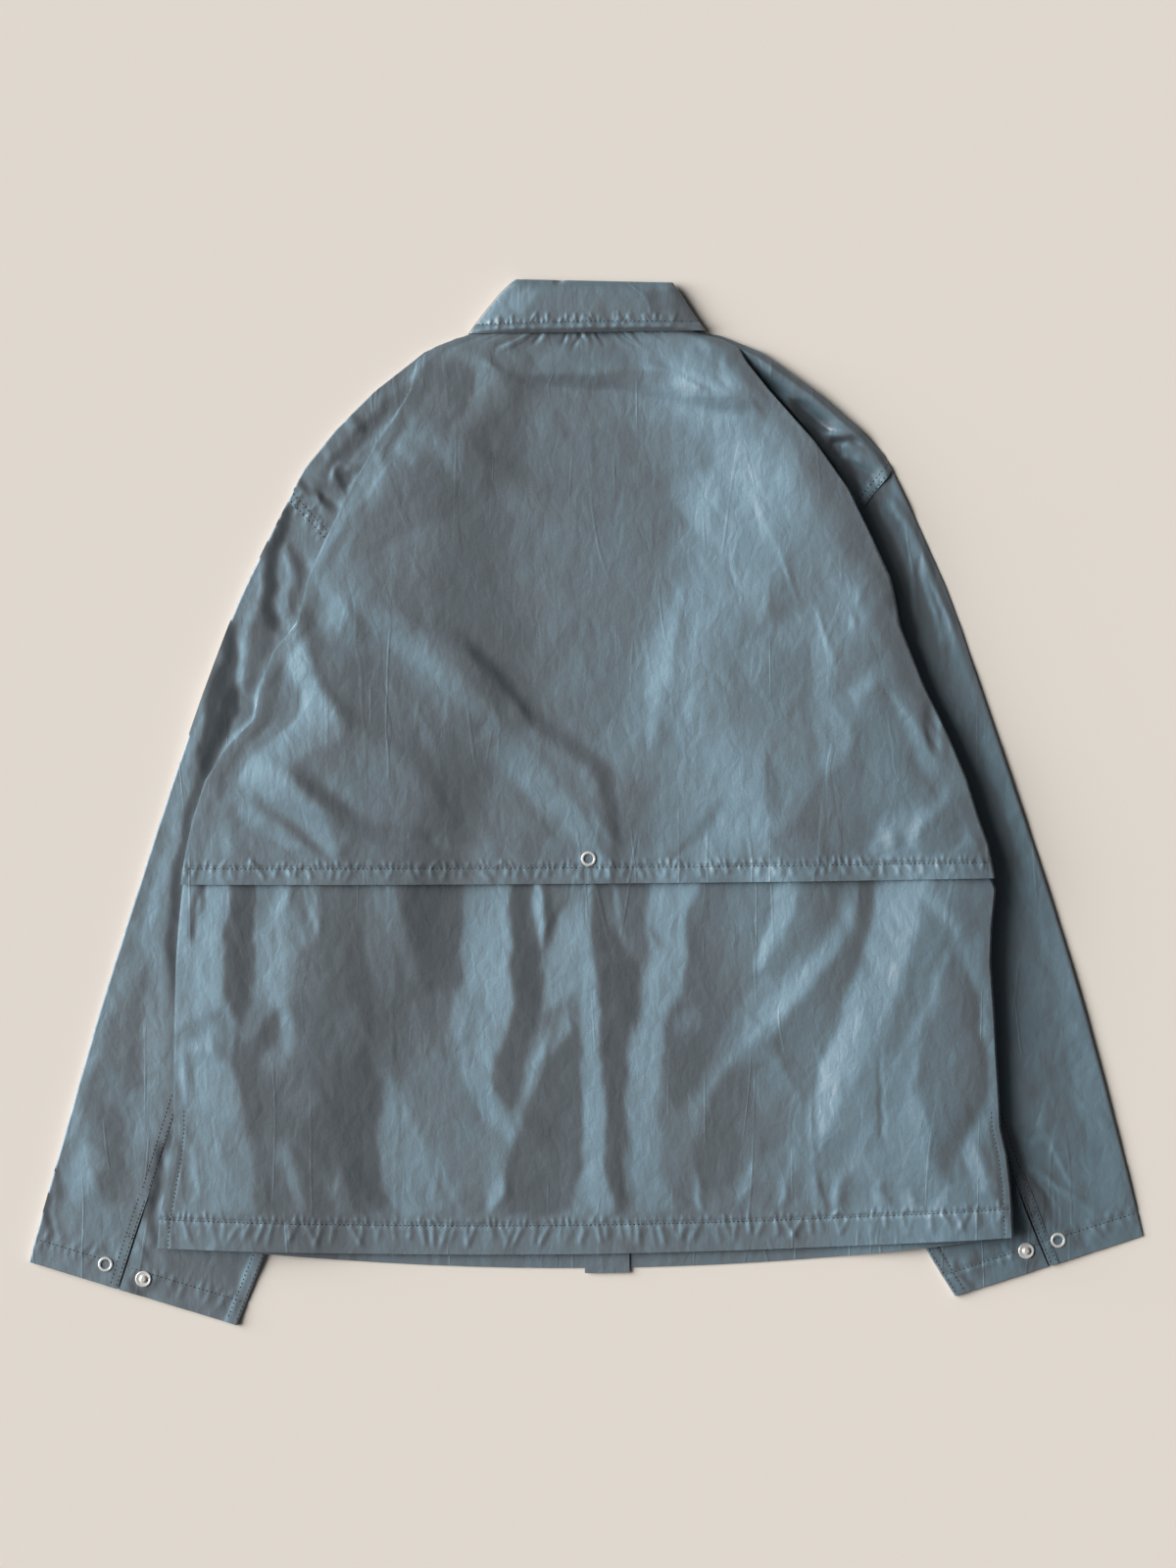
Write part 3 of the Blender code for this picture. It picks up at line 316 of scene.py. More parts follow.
LOWER_BACK_FLANKS = flank_table(
    # left half
    (0.10, -322, -45, -278, -45, -281, -95, -286, -118, -283, -150, -277, -172, -276, -196, -296, -200,
        -300, -185, -296, -165, -322, -180),
    (-0.03, -296, -165, -286, -164, -280, -182, -277, -205, -290, -200),
    (-0.20, -299, -45, -294, -45, -299, -75, -306, -102, -310, -102, -304, -80),
    (-0.14, -277, -45, -262, -45, -259, -95, -260, -140, -263, -160, -272, -178, -281, -150, -285, -118,
        -280, -95),
    (0.07, -258, -95, -246, -90, -236, -70, -228, -45, -232, -100, -236, -140, -232, -165, -230, -190, -237,
        -196, -241, -165, -246, -157, -256, -150, -260, -120),
    (-0.12, -250, -170, -244, -157, -241, -165, -243, -190, -256, -198, -264, -185),
    (-0.10, -274, -180, -262, -186, -250, -198, -258, -208, -275, -212),
    (0.11, -240, -45, -232, -45, -244, -92, -250, -92),
    (-0.04, -232, -45, -219, -45, -212, -98, -216, -112, -232, -88),
    (0.11, -219, -45, -213, -45, -208, -98, -212, -98),
    (0.06, -234, -84, -228, -84, -216, -110, -220, -116),
    (-0.08, -210, -45, -176, -45, -172, -90, -174, -115, -168, -140, -166, -165, -170, -190, -165, -215,
        -160, -250, -158, -285, -150, -312, -168, -322, -178, -290, -185, -262, -200, -290, -212, -272,
        -232, -262, -250, -262, -262, -262, -268, -235, -274, -212, -255, -206, -236, -212, -226, -190,
        -230, -160, -228, -120, -212, -110, -207, -95),
    (-0.02, -196, -165, -178, -160, -170, -190, -186, -205, -200, -190),
    (-0.03, -240, -228, -216, -222, -204, -236, -222, -246, -238, -244),
    (0.05, -172, -45, -162, -66, -154, -95, -162, -88),
    (0.03, -175, -95, -158, -95, -146, -125, -150, -150, -168, -140),
    (-0.06, -150, -45, -100, -45, -97, -90, -99, -110, -95, -138, -110, -150, -126, -148, -133, -125, -138,
        -105, -146, -85),
    (0.10, -157, -45, -152, -45, -146, -90, -138, -110, -133, -138, -142, -140, -150, -118, -155, -92),
    (0.08, -98, -45, -61, -45, -60, -100, -58, -140, -58, -165, -64, -190, -76, -205, -74, -222, -62, -245,
        -54, -262, -57, -270, -72, -258, -88, -240, -96, -215, -100, -190, -108, -175, -104, -150, -95,
        -138, -99, -110, -96, -85),
    (0.12, -84, -100, -66, -85, -60, -120, -58, -160, -66, -185, -80, -160),
    (-0.15, -60, -45, -45, -45, -39, -95, -36, -125, -32, -150, -42, -180, -48, -200, -52, -230, -58, -240,
        -70, -228, -75, -212, -70, -200, -60, -185, -57, -150, -59, -110),
    (0.10, -45, -45, -33, -45, -32, -95, -35, -120, -39, -100),
    (-0.06, -33, -45, -8, -45, -22, -88, -30, -105, -33, -95),
    (-0.14, -8, -66, -22, -88, -30, -105, -37, -125, -34, -108, -28, -92, -16, -74),
    (0.08, -20, -88, -4, -72, 0, -90, -2, -130, -10, -150, -30, -166, -36, -160, -33, -140, -28, -112),
    (-0.04, -30, -166, -12, -150, 0, -140, 0, -165, -10, -172),
    (-0.13, -8, -172, 0, -190, 0, -240, -4, -285, -12, -318, -30, -325, -62, -322, -64, -290, -58, -268,
        -50, -246, -44, -230, -30, -202),
    (0.10, -14, -168, -10, -176, -30, -200, -44, -230, -50, -228, -46, -212, -34, -190),
    (0.01, -146, -225, -110, -200, -96, -225, -88, -245, -62, -262, -62, -290, -74, -310, -92, -318, -104,
        -290, -118, -262, -130, -245),
    (0.09, -160, -208, -146, -225, -136, -245, -126, -270, -122, -292, -108, -318, -140, -325, -148, -325,
        -160, -295, -165, -270, -160, -240),
    (0.07, -118, -268, -112, -270, -98, -300, -92, -320, -100, -322, -112, -295),
    (0.08, -68, -290, -62, -296, -70, -318, -80, -326, -78, -312),
    (0.09, -316, -200, -296, -200, -277, -204, -274, -225, -268, -250, -262, -285, -258, -320, -300, -325,
        -308, -290, -312, -250),
    (0.20, -318, -184, -300, -186, -300, -196, -311, -198, -308, -260, -304, -275, -309, -275, -314, -240,
        -318, -200),
    (-0.04, -262, -270, -246, -268, -240, -300, -232, -322, -256, -322),
    (0.08, -240, -265, -232, -268, -222, -295, -216, -320, -226, -322, -236, -295),
    (0.07, -200, -300, -192, -285, -186, -300, -188, -322, -196, -322),
    (-0.09, -190, -262, -184, -262, -176, -300, -172, -322, -184, -320),
    # right half
    (0.10, 0, -45, 6, -45, 4, -100, 8, -140, 11, -165, 9, -185, 12, -215, 17, -235, 14, -270, 16, -300, 20,
        -322, 6, -322, -4, -290, -3, -240, -4, -180),
    (-0.15, 6, -45, 18, -45, 22, -95, 30, -115, 44, -130, 42, -160, 32, -190, 30, -240, 30, -280, 30, -322,
        22, -322, 17, -290, 15, -265, 18, -235, 12, -210, 10, -185, 12, -160, 8, -135, 5, -100),
    (-0.08, 22, -45, 50, -45, 48, -90, 50, -110, 46, -130, 32, -112, 25, -88),
    (0.10, 18, -45, 21, -45, 26, -90, 32, -112, 27, -108, 20, -88),
    (0.11, 50, -45, 94, -45, 80, -90, 78, -120, 77, -140, 78, -150, 68, -158, 58, -170, 62, -185, 65, -197,
        58, -200, 56, -230, 57, -260, 62, -290, 68, -320, 36, -322, 36, -290, 33, -250, 33, -200, 42, -175,
        44, -150, 50, -120, 48, -90),
    (-0.05, 50, -96, 56, -100, 60, -112, 54, -112),
    (-0.09, 94, -45, 152, -45, 142, -90, 135, -115, 130, -130, 140, -135, 122, -155, 110, -175, 98, -200,
        84, -225, 72, -240, 60, -225, 60, -200, 66, -195, 60, -175, 68, -160, 79, -150, 79, -120, 81, -92),
    (0.00, 68, -166, 90, -164, 88, -180, 70, -180),
    (0.07, 153, -45, 170, -45, 162, -90, 150, -110, 138, -132, 132, -130, 138, -108, 146, -85),
    (-0.06, 172, -45, 208, -45, 196, -90, 178, -110, 160, -125, 146, -140, 138, -132, 152, -110, 164, -88),
    (-0.07, 104, -216, 122, -204, 140, -200, 158, -212, 165, -240, 158, -262, 142, -275, 130, -290, 112,
        -300, 90, -300, 84, -275, 96, -250, 98, -230),
    (-0.02, 130, -215, 150, -205, 155, -225, 135, -245),
    (-0.12, 216, -45, 228, -45, 224, -90, 218, -110, 210, -135, 200, -160, 192, -185, 184, -205, 176, -228,
        168, -240, 160, -225, 150, -200, 135, -190, 150, -178, 166, -158, 182, -138, 198, -118, 210, -98),
    (0.09, 208, -72, 212, -85, 206, -100, 192, -122, 176, -142, 160, -162, 145, -180, 125, -195, 108, -212,
        96, -230, 92, -245, 82, -262, 76, -250, 88, -228, 104, -205, 122, -180, 140, -155, 165, -135, 185,
        -112, 200, -88),
    (0.04, 222, -200, 232, -178, 244, -160, 250, -170, 244, -190, 250, -210, 262, -235, 270, -265, 268,
        -285, 250, -300, 225, -300, 212, -275, 205, -245),
    (0.10, 228, -45, 270, -45, 262, -85, 256, -105, 250, -130, 240, -155, 230, -178, 222, -200, 205, -225,
        196, -245, 190, -262, 174, -270, 172, -250, 180, -225, 190, -195, 204, -160, 216, -120, 224, -92),
    (-0.05, 262, -80, 272, -78, 282, -90, 288, -105, 284, -118, 274, -140, 262, -165, 250, -182, 242, -195,
        232, -198, 236, -180, 248, -150, 256, -120),
    (0.06, 264, -70, 276, -76, 288, -92, 292, -112, 286, -114, 282, -96, 270, -82),
    (-0.03, 280, -45, 300, -45, 308, -95, 300, -110, 292, -100, 284, -85),
    (-0.09, 288, -118, 298, -125, 304, -150, 310, -180, 314, -205, 316, -222, 306, -245, 296, -262, 292,
        -275, 298, -290, 285, -300, 272, -290, 270, -262, 264, -235, 256, -210, 262, -185, 276, -150),
    (-0.15, 296, -235, 306, -240, 296, -262, 280, -290, 274, -280, 284, -255),
    (0.06, 282, -116, 286, -120, 272, -150, 256, -185, 246, -195, 258, -170),
    (0.13, 296, -118, 306, -95, 310, -120, 314, -160, 320, -200, 322, -235, 316, -255, 306, -265, 312, -285,
        322, -300, 318, -305, 302, -288, 294, -275, 300, -258, 314, -240, 316, -220, 312, -190, 304, -150),
    # above the hem
    (0.09, 85, -290, 89, -290, 92, -322, 86, -322),
    (0.09, 130, -280, 134, -282, 128, -305, 120, -318, 116, -314, 124, -300),
    (0.08, 160, -270, 166, -275, 158, -305, 152, -322, 144, -322, 152, -300),
    (0.11, 176, -262, 182, -285, 184, -320, 176, -320, 172, -285),
    (-0.12, 184, -285, 190, -300, 190, -320, 186, -320),
    (0.09, 210, -262, 206, -282, 196, -300, 190, -318, 198, -318, 206, -300, 214, -280),
    (-0.07, 206, -288, 212, -300, 206, -318, 196, -318),
    (0.07, 222, -300, 236, -312, 244, -322, 226, -322),
    (0.11, 246, -305, 262, -312, 258, -318, 246, -314),
    (0.08, 262, -318, 280, -308, 282, -314, 268, -324),
    (0.09, 300, -290, 318, -305, 330, -325, 332, -345, 318, -345, 310, -318),
)

LEFT_SLEEVE_FLANKS = flank_table(
    (0.05, -236, 236, -240, 228, -252, 200, -258, 188, -254, 190, -246, 208, -236, 232),
    (-0.30, -236, 235, -231, 232, -234, 215, -240, 196, -243, 180, -245, 160, -242, 150, -238, 142, -244,
        136, -250, 140, -254, 155, -255, 175, -251, 195, -243, 215),
    (-0.15, -232, 208, -224, 190, -220, 180, -222, 160, -226, 145, -231, 152, -233, 165, -231, 185),
    (0.10, -234, 210, -231, 196, -231, 175, -234, 160, -231, 150, -228, 142, -236, 150, -244, 160, -243,
        178, -240, 192),
    (0.20, -244, 158, -241, 158, -231, 141, -234, 140),
    (-0.12, -255, 155, -250, 140, -246, 125, -244, 118, -250, 100, -256, 88, -262, 82, -268, 88, -268, 110,
        -264, 130, -258, 150),
    (0.02, -258, 186, -264, 172, -270, 158, -276, 145, -270, 146, -262, 160),
    (0.16, -255, 190, -258, 186, -262, 160, -268, 142, -274, 125, -275, 100, -272, 85, -264, 74, -260, 70,
        -258, 73, -264, 80, -269, 90, -270, 110, -268, 130, -262, 148, -256, 165, -252, 190),
    (-0.28, -279, 142, -274, 138, -276, 110, -276, 90, -282, 70, -284, 60, -284, 45, -290, 30, -296, 20,
        -305, 20, -303, 40, -300, 65, -294, 90, -286, 118),
    (0.10, -276, 84, -270, 70, -266, 62, -274, 56, -282, 62, -280, 75),
    (-0.20, -272, 80, -266, 72, -264, 64, -269, 65),
    (0.07, -302, 75, -312, 50, -322, 22, -326, 10, -318, 10, -310, 30, -303, 45, -300, 62),
    (0.06, -324, 20, -310, 20, -312, -10, -318, -40, -322, -70, -326, -100, -330, -130, -340, -140, -350,
        -100, -340, -60, -330, -20),
    (-0.22, -306, 20, -298, 20, -306, -10, -312, -35, -316, -55, -320, -80, -320, -120, -322, -170, -326,
        -150, -328, -120, -325, -80, -320, -50, -314, -25, -309, 0),
    (-0.06, -350, -130, -344, -130, -348, -165, -352, -200, -346, -222, -358, -230, -364, -200, -360, -165),
    (0.06, -340, -130, -330, -130, -328, -180, -334, -210, -345, -215, -350, -195, -346, -160),
    (-0.05, -376, -165, -366, -165, -366, -200, -376, -230, -388, -255, -394, -240, -382, -200),
    (-0.07, -392, -245, -380, -235, -368, -240, -360, -260, -366, -285, -380, -275, -392, -262),
    (-0.08, -385, -290, -370, -290, -360, -296, -358, -310, -372, -315, -384, -305),
    (0.06, -370, -130, -360, -130, -372, -165, -384, -200, -396, -240, -404, -262, -416, -285, -412, -255,
        -396, -205, -384, -165),
    (0.05, -358, -230, -346, -222, -336, -215, -332, -240, -338, -255, -352, -270, -362, -262),
    (0.05, -396, -265, -386, -270, -382, -285, -390, -300, -404, -285),
    (-0.20, -415, -282, -412, -285, -413, -305, -416, -328, -422, -330, -419, -308),
    (-0.03, -424, -330, -416, -335, -396, -342, -372, -350, -366, -372, -390, -366, -415, -358, -436, -358,
        -430, -340),
    (-0.06, -352, -320, -340, -325, -336, -345, -300, -355, -275, -360, -268, -385, -278, -405, -320, -398,
        -350, -385, -352, -350),
    (-0.28, -328, -262, -324, -255, -325, -280, -332, -310, -336, -335, -340, -330, -340, -312, -338, -295),
    # the hollow beside the slit
    (-0.30, -326, -262, -331, -280, -338, -300, -343, -312, -340, -320, -334, -316, -331, -300, -328, -284),
    (-0.20, -356, -374, -350, -378, -345, -388, -350, -390, -356, -384),
    # the hollow beside the body
    (-0.20, -300, 14, -312, -40, -318, -80, -322, -120, -330, -120, -324, -60, -312, 0, -304, 20),
    (-0.40, -266, 78, -276, 62, -286, 44, -298, 16, -302, 14, -299, 32, -294, 50, -290, 66, -284, 84, -276,
        92),
    # the cuff
    (-0.08, -426, -308, -418, -306, -408, -334, -412, -342, -422, -330),
    (0.05, -412, -290, -392, -294, -388, -310, -402, -314, -410, -304),
    (-0.06, -378, -258, -366, -262, -356, -300, -352, -316, -364, -312, -374, -290),
    (-0.15, -338, -316, -331, -316, -331, -348, -337, -350, -342, -335),
    (-0.08, -330, -356, -282, -360, -272, -372, -300, -372, -326, -364),
    (0.06, -352, -328, -344, -326, -340, -344, -346, -352, -353, -342),
)
RIGHT_SLEEVE_FLANKS = flank_table(
    (-0.03, 225, 250, 245, 262, 330, 20, 440, -338, 345, -360, 325, -200, 318, -60, 300, 20, 262, 100, 235,
        200),
    (0.03, 262, 216, 265, 212, 264, 200, 272, 182, 280, 165, 286, 145, 294, 125, 302, 105, 310, 80, 318, 55,
        325, 35, 320, 35, 312, 60, 303, 85, 296, 105, 288, 125, 282, 145, 274, 170, 264, 195, 260, 205),
    (-0.08, 258, 200, 262, 195, 268, 175, 272, 155, 276, 130, 280, 110, 272, 115, 262, 150, 258, 180),
    (0.02, 340, -40, 350, -60, 362, -100, 372, -130, 382, -160, 392, -200, 404, -240, 416, -275, 424, -290,
        418, -320, 396, -318, 390, -290, 392, -260, 386, -235, 378, -205, 372, -180, 366, -150, 360, -125,
        350, -95, 342, -70),
    (0.05, 376, -190, 388, -200, 398, -235, 410, -270, 416, -300, 404, -316, 396, -300, 394, -265, 386,
        -240),
    (0.05, 361, -242, 363, -244, 358, -262, 350, -270, 340, -262, 352, -264),
    (0.04, 360, -258, 364, -262, 374, -282, 384, -304, 379, -300, 368, -282),
    (0.05, 344, -280, 352, -290, 372, -302, 394, -316, 392, -320, 366, -306, 350, -296),
    (-0.10, 350, -290, 366, -306, 384, -318, 372, -330, 360, -318),
    # the lit strip along the outer fold
    (0.06, 316, 62, 338, 8, 358, -52, 368, -88, 388, -158, 411, -240, 398, -240, 376, -170, 356, -100, 345,
        -62, 325, 0, 306, 50),
    # the folds beside the slit
    (-0.35, 328, -248, 336, -262, 343, -280, 346, -300, 350, -326, 346, -330, 341, -306, 335, -284, 328,
        -268),
    (0.12, 334, -292, 340, -300, 345, -318, 348, -332, 342, -332, 337, -314),
    (-0.25, 350, -290, 356, -298, 362, -312, 364, -326, 358, -330, 353, -312, 348, -298),
    # the hollow below the shoulder seam
    (-0.25, 214, 236, 226, 214, 236, 190, 246, 160, 254, 128, 262, 132, 254, 166, 246, 196, 236, 220, 224,
        240),
    # the cuff
    (0.10, 282, -354, 290, -362, 298, -382, 294, -386, 286, -372),
    (-0.20, 290, -358, 300, -376, 304, -382, 300, -384, 294, -372),
    (-0.12, 303, -352, 310, -352, 314, -368, 308, -374),
    (-0.15, 340, -358, 352, -356, 356, -364, 346, -368),
    (-0.10, 380, -328, 386, -326, 388, -346, 382, -350),
    (0.06, 390, -322, 398, -320, 400, -342, 393, -346),
)

LEFT_YOKE_FLANKS = flank_table(
    (0.12, -200, 262, -196, 266, -188, 268, -180, 266, -178, 262, -186, 263, -192, 260, -194, 252, -199,
        252),
    (-0.25, -194, 258, -188, 260, -182, 258, -184, 250, -190, 244, -194, 250),
    (-0.20, -226, 250, -220, 252, -214, 246, -206, 240, -200, 234, -204, 232, -214, 238, -222, 244),
    (-0.12, -182, 306, -176, 300, -172, 290, -178, 290, -184, 298),
)
RIGHT_YOKE_FLANKS = flank_table(
    # the hollow beside the body
    (-0.50, 158, 318, 166, 302, 176, 288, 188, 270, 200, 252, 206, 240, 214, 244, 209, 258, 201, 271, 196,
        283, 188, 292, 178, 302, 166, 316),
    (-0.40, 186, 292, 200, 289, 214, 286, 214, 282, 200, 284, 190, 287),
    (0.10, 198, 298, 208, 293, 217, 286, 216, 280, 206, 288, 198, 292),
    (0.12, 200, 276, 208, 274, 216, 270, 216, 264, 208, 268, 200, 270),
    (-0.40, 202, 268, 210, 266, 218, 260, 214, 256, 206, 260),
)
YOKE_FOLDS = {
    "left": (LEFT_YOKE_FLANKS, LEFT_YOKE_CREASES),
    "right": (RIGHT_YOKE_FLANKS, RIGHT_YOKE_CREASES),
}
SLEEVE_FOLDS = {
    "left": (LEFT_SLEEVE_FLANKS, LEFT_SLEEVE_CREASES),
    "right": (RIGHT_SLEEVE_FLANKS, RIGHT_SLEEVE_CREASES),
}

# Hidden side: ridges that keep the fronts flat where they rest
FRONT_CREASES = crease_table(
    # left front
    (12, 16, 1.4, -118, 250, -96, 150, -88, 40),
    (11, 13, 1.0, -52, 160, -66, 40, -60, -70),
    (16, 12, 1.2, -205, 70, -150, -30, -116, -140),
    (10, 10, 0.7, -262, -40, -214, -100, -186, -170),
    (13, 10, 1.5, -98, -110, -88, -220, -100, -315),
    (9, 12, 0.6, -292, -180, -262, -250, -248, -310),
    (10, 9, 1.0, -48, -150, -40, -240, -50, -310),
    (11, 9, 0.8, -196, 190, -164, 120, -176, 40),
    (9, 10, 1.1, -44, 310, -62, 240, -56, 190),
    # right front
    (15, 12, 1.3, 104, 270, 84, 170, 96, 70),
    (12, 14, 1.1, 58, 90, 70, -20, 62, -120),
    (10, 12, 0.7, 226, 150, 186, 60, 170, -20),
    (12, 16, 1.4, 112, -40, 92, -150, 104, -260),
    (9, 9, 0.6, 288, -90, 256, -170, 262, -260),
    (11, 10, 1.2, 56, -190, 66, -260, 58, -325),
    (10, 11, 1.0, 122, -230, 112, -290, 120, -335),
    # across the plackets
    (10, 12, 0.7, -70, 130, 0, 112, 66, 122),
    (9, 11, 0.6, -60, -120, 6, -146, 58, -138),
)

# Sides and groups of pieces
SIDES = ("left", "right")
FRONT_NODES = ["left_front", "right_front", "left_placket", "right_placket"]
SLEEVE_NODES = ["left_top_sleeve", "left_under_sleeve", "right_top_sleeve", "right_under_sleeve"]
SNAP_NODES = [
    "flap_ring_snap",
    "left_cuff_ring_snap",
    "right_cuff_ring_snap",
    "left_cuff_stud",
    "right_cuff_stud",
]

# The cut of each piece of cloth as it lies: width, length and flat area
Cut = namedtuple("Cut", "width length area")

# Share of a sleeve's width, from its outer fold, at which its seam runs on top, and the one below
SEAM_SHARE = {"left": 0.43, "right": 0.50}
UNDER_SHARE = 0.50

# Folds of the sleeves and yokes: their radius, their underside above the floor, the height that stays when
# they are pressed flatter, and the least height that counts as their top
FOLD_RADIUS = 0.0003
FOLD_LOW = 0.0002
FOLD_BASE = 0.0014
FOLD_LEAST = 0.003

# Crimps along the shoulder seams: share of the height at hems, and reach
SEAM_CRIMP = {"left": 1.2, "right": 0.4}
SEAM_REACH = 0.007

# Stitched rows: width of the trough that they pull, its depth by place, reach of the crimps above, and the
# step up to a turned hem, with the length it takes
ROW_WIDTH = 0.0014
HEM_TROUGH = 0.0009
VENT_TROUGH = 0.00025
SLEEVE_TROUGH = 0.0006
COLLAR_TROUGH = 0.0008
CRIMP_REACH = 0.007
HEM_STEP = 0.0003
HEM_RAMP = 0.002

# Turn in degrees from which an edge is crisp, on cloth panels and on other pieces
RIM_SHARP = 45
SHARP = 60

# Turns at which the cloth's round folds have points
HALF_TURN = np.linspace(0, math.pi, 10)[1:-1]

# Sides of the backs: how far in the left edge lies flat, and the puffed fold on the right, with what it gains
# towards the shoulder, how far in it reaches, the Y that it stays below, and how far both edges drop
FLAT_REACH = 0.018
SIDE_LOFT = 0.0065
SHOULDER_LOFT = 0.004
SHOULDER_FROM = 0.170
LOFT_REACH = 0.095
LOFT_BELOW = 0.372
LEFT_DROP = 0.00012
RIGHT_DROP = 0.0015

# Crumple strewn over the cloth: pieces to the square metre, and the broad creases' lengths and widths in
# millimetres. Then the shares at which listed creases and broad ones count.
FINE_COUNT = 5000
BROAD_COUNT = 420
BROAD_SPANS = (40, 110)
BROAD_WIDTHS = (9, 22)
LISTED_SHARE = 0.35
BROAD_SHARE = 1.1

# Rows of stitching by name: plan places of the row, and the pieces it lies on. Each piece adds its own.
STITCH_ROWS = {}


def measure(name, description, default):
    """A property that is a length."""
    return FloatProperty(name=name, description=description, default=default, unit="LENGTH")


def share(name, description, default):
    """A property that is a factor."""
    return FloatProperty(name=name, description=description, default=default, subtype="FACTOR")


def colour(name, description, default):
    """A property that is a colour."""
    return FloatVectorProperty(name=name, description=description, default=default, subtype="COLOR")


class JacketCloth(bpy.types.PropertyGroup):
    cell: measure("Cell", "Spacing of the cloth's points", 0.0018)
    wall: measure("Wall", "Thickness of the cloth's shell", 0.0004)
    depth: share("Crease depth", "Scale of all creases", 1.35)
    crumple: measure("Crumple", "Height of the fine creases all over the cloth", 0.00025)
    pucker: measure("Pucker", "Height of the wide puckers down the hems", 0.00045)
    pucker_pitch: measure("Pucker pitch", "Distance from one wide pucker to the next", 0.0095)
    crimp: measure("Crimp", "Height of the crimps at the stitching", 0.00045)
    crimp_pitch: measure("Crimp pitch", "Distance from one crimp to the next", 0.0042)
    # Colours of the cloth, painted with light. The bluish one goes on sides that face the light, the warmer
    # one is painted shade on sides turned away, and the pinkish one is a painted highlight where they face it
    # most. Noise also mixes them at random
    blue: colour("Blue yarn", "Colour of the warp", (0.198, 0.293, 0.352))
    painted_rose_glint: colour("Rose glint", "Colour on folds that face the light", (0.285, 0.290, 0.300))
    warm_yarn_and_shade: colour("Warm yarn", "Colour of the weft", (0.244, 0.280, 0.306))
    roughness: share("Roughness", "Roughness of the taffeta", 0.52)


class JacketSewing(bpy.types.PropertyGroup):
    flap_hem: measure("Flap hem", "Width of the flap's turned hem", 0.0125)
    back_hem: measure("Back hem", "Width of the lower back's turned hem", 0.0225)
    vent_edge: measure("Vent edge", "Stitching's distance from the side vents' edges", 0.008)
    vent_from: measure("Vent from", "Y at which the side vents begin", -0.240)
    sleeve_hem: measure("Sleeve hem", "Width of the sleeves' turned hem", 0.019)
    collar_edge: measure("Collar edge", "Stitching's distance from the collar's edge", 0.0085)
    stitch: measure("Stitch", "Length of a stitch", 0.0022)
    stitch_gap: measure("Stitch gap", "Cloth between two stitches", 0.0012)
    sway: measure("Sway", "Reach of a stitch's ends off its row", 0.0003)
    thread: measure("Thread", "Radius of the thread", 0.00036)


class JacketSnaps(bpy.types.PropertyGroup):
    steps: IntProperty(name="Steps", description="Sides of a turned snap", default=48)
    steel: colour("Steel", "Colour of the snaps", (0.92, 0.90, 0.86))


class JacketStage(bpy.types.PropertyGroup):
    floor: colour("Floor", "Colour of the floor", (0.876, 0.807, 0.725))
    lens: FloatProperty(name="Lens", description="Focal length in millimetres", default=110.0)
    view_height: measure("View height", "Length of floor that the picture's height shows", 1.232)
    view_x: measure("View X", "Middle of the picture", 0.0015)
    view_y: measure("View Y", "Middle of the picture", 0.0146)
    key: FloatProperty(name="Key light", description="Strength of the low light from the left", default=5.0)
    soft: FloatProperty(name="Soft light", description="Strength of the wide light from above", default=0.3)
    fill: FloatProperty(name="Fill", description="Strength of the light from all round", default=0.04)


def smooth(t):
    t = np.clip(t, 0.0, 1.0)
    return t * t * (3 - 2 * t)


def moved(grid, cells, axis):
    """A grid moved by up to this many cells both ways along an axis, with its edges held."""
    padded = np.pad(grid, [(cells, cells) if a == axis else (0, 0) for a in (0, 1)], mode="edge")
    return [np.take(padded, np.arange(k, k + grid.shape[axis]), axis=axis) for k in range(2 * cells + 1)]


def blur(grid, cells):
    """A grid of heights softened over this many cells each way."""
    reach = max(1, int(round(cells * 2.5)))
    weights = np.exp(-0.5 * (np.arange(-reach, reach + 1) / cells) ** 2)
    weights /= weights.sum()
    for axis in (0, 1):
        grid = sum(w * part for w, part in zip(weights, moved(grid, reach, axis)))
    return grid


def widest(grid, cells, pick):
    """The greatest or least of a grid within this many cells each way."""
    for axis in (0, 1):
        grid = pick(moved(grid, cells, axis), axis=0)
    return grid


def tree_of(pieces):
    """A search tree over the meshes of some objects as they are shown."""
    points, faces = [], []
    shown = bpy.context.evaluated_depsgraph_get()
    for piece in pieces:
        made = piece.evaluated_get(shown)
        mesh = made.to_mesh()
        first = len(points)
        points += [v.co.copy() for v in mesh.vertices]
        faces += [[first + i for i in polygon.vertices] for polygon in mesh.polygons]
        made.to_mesh_clear()
    return BVHTree.FromPolygons(points, faces)


def heights_on(tree, x, y, otherwise=np.nan, way=-1):
    """Heights of the first surface met from above, or from below with way 1, if there is one."""
    ray = Vector((0, 0, way))
    found = np.full(x.shape, otherwise)
    for place in np.ndindex(x.shape):
        hit = tree.ray_cast(Vector((x[place], y[place], -way)), ray)[0]
        if hit is not None:
            found[place] = hit.z
    return found


def fill_gaps(grid):
    """Fills each row's missing heights from the nearest ones beside them."""
    for row in grid:
        known = np.flatnonzero(~np.isnan(row))
        if len(known) == 0:
            raise RuntimeError("a row of cloth has no solid under it")
        row[:] = np.interp(np.arange(len(row)), known, row[known])
    return grid


def points_of(node):
    return np.array([v.co for v in NODES[node].data.vertices])


def slices(node, axis, values):
    """Least and greatest other plan coordinate of a node at each value of one plan coordinate."""
    points = points_of(node)[:, :2]
    ends = np.array([e.vertices for e in NODES[node].data.edges])
    a, b = points[ends[:, 0]], points[ends[:, 1]]
    found = []
    for value in values:
        crossing = (a[:, axis] - value) * (b[:, axis] - value) <= 0
        p, q = a[crossing], b[crossing]
        span = q[:, axis] - p[:, axis]
        share = np.where(np.abs(span) > 1e-9, (value - p[:, axis]) / np.where(span == 0, 1, span), 0.0)
        other = p[:, 1 - axis] + share * (q[:, 1 - axis] - p[:, 1 - axis])
        found.append((other.min(), other.max()))
    return np.array(found)


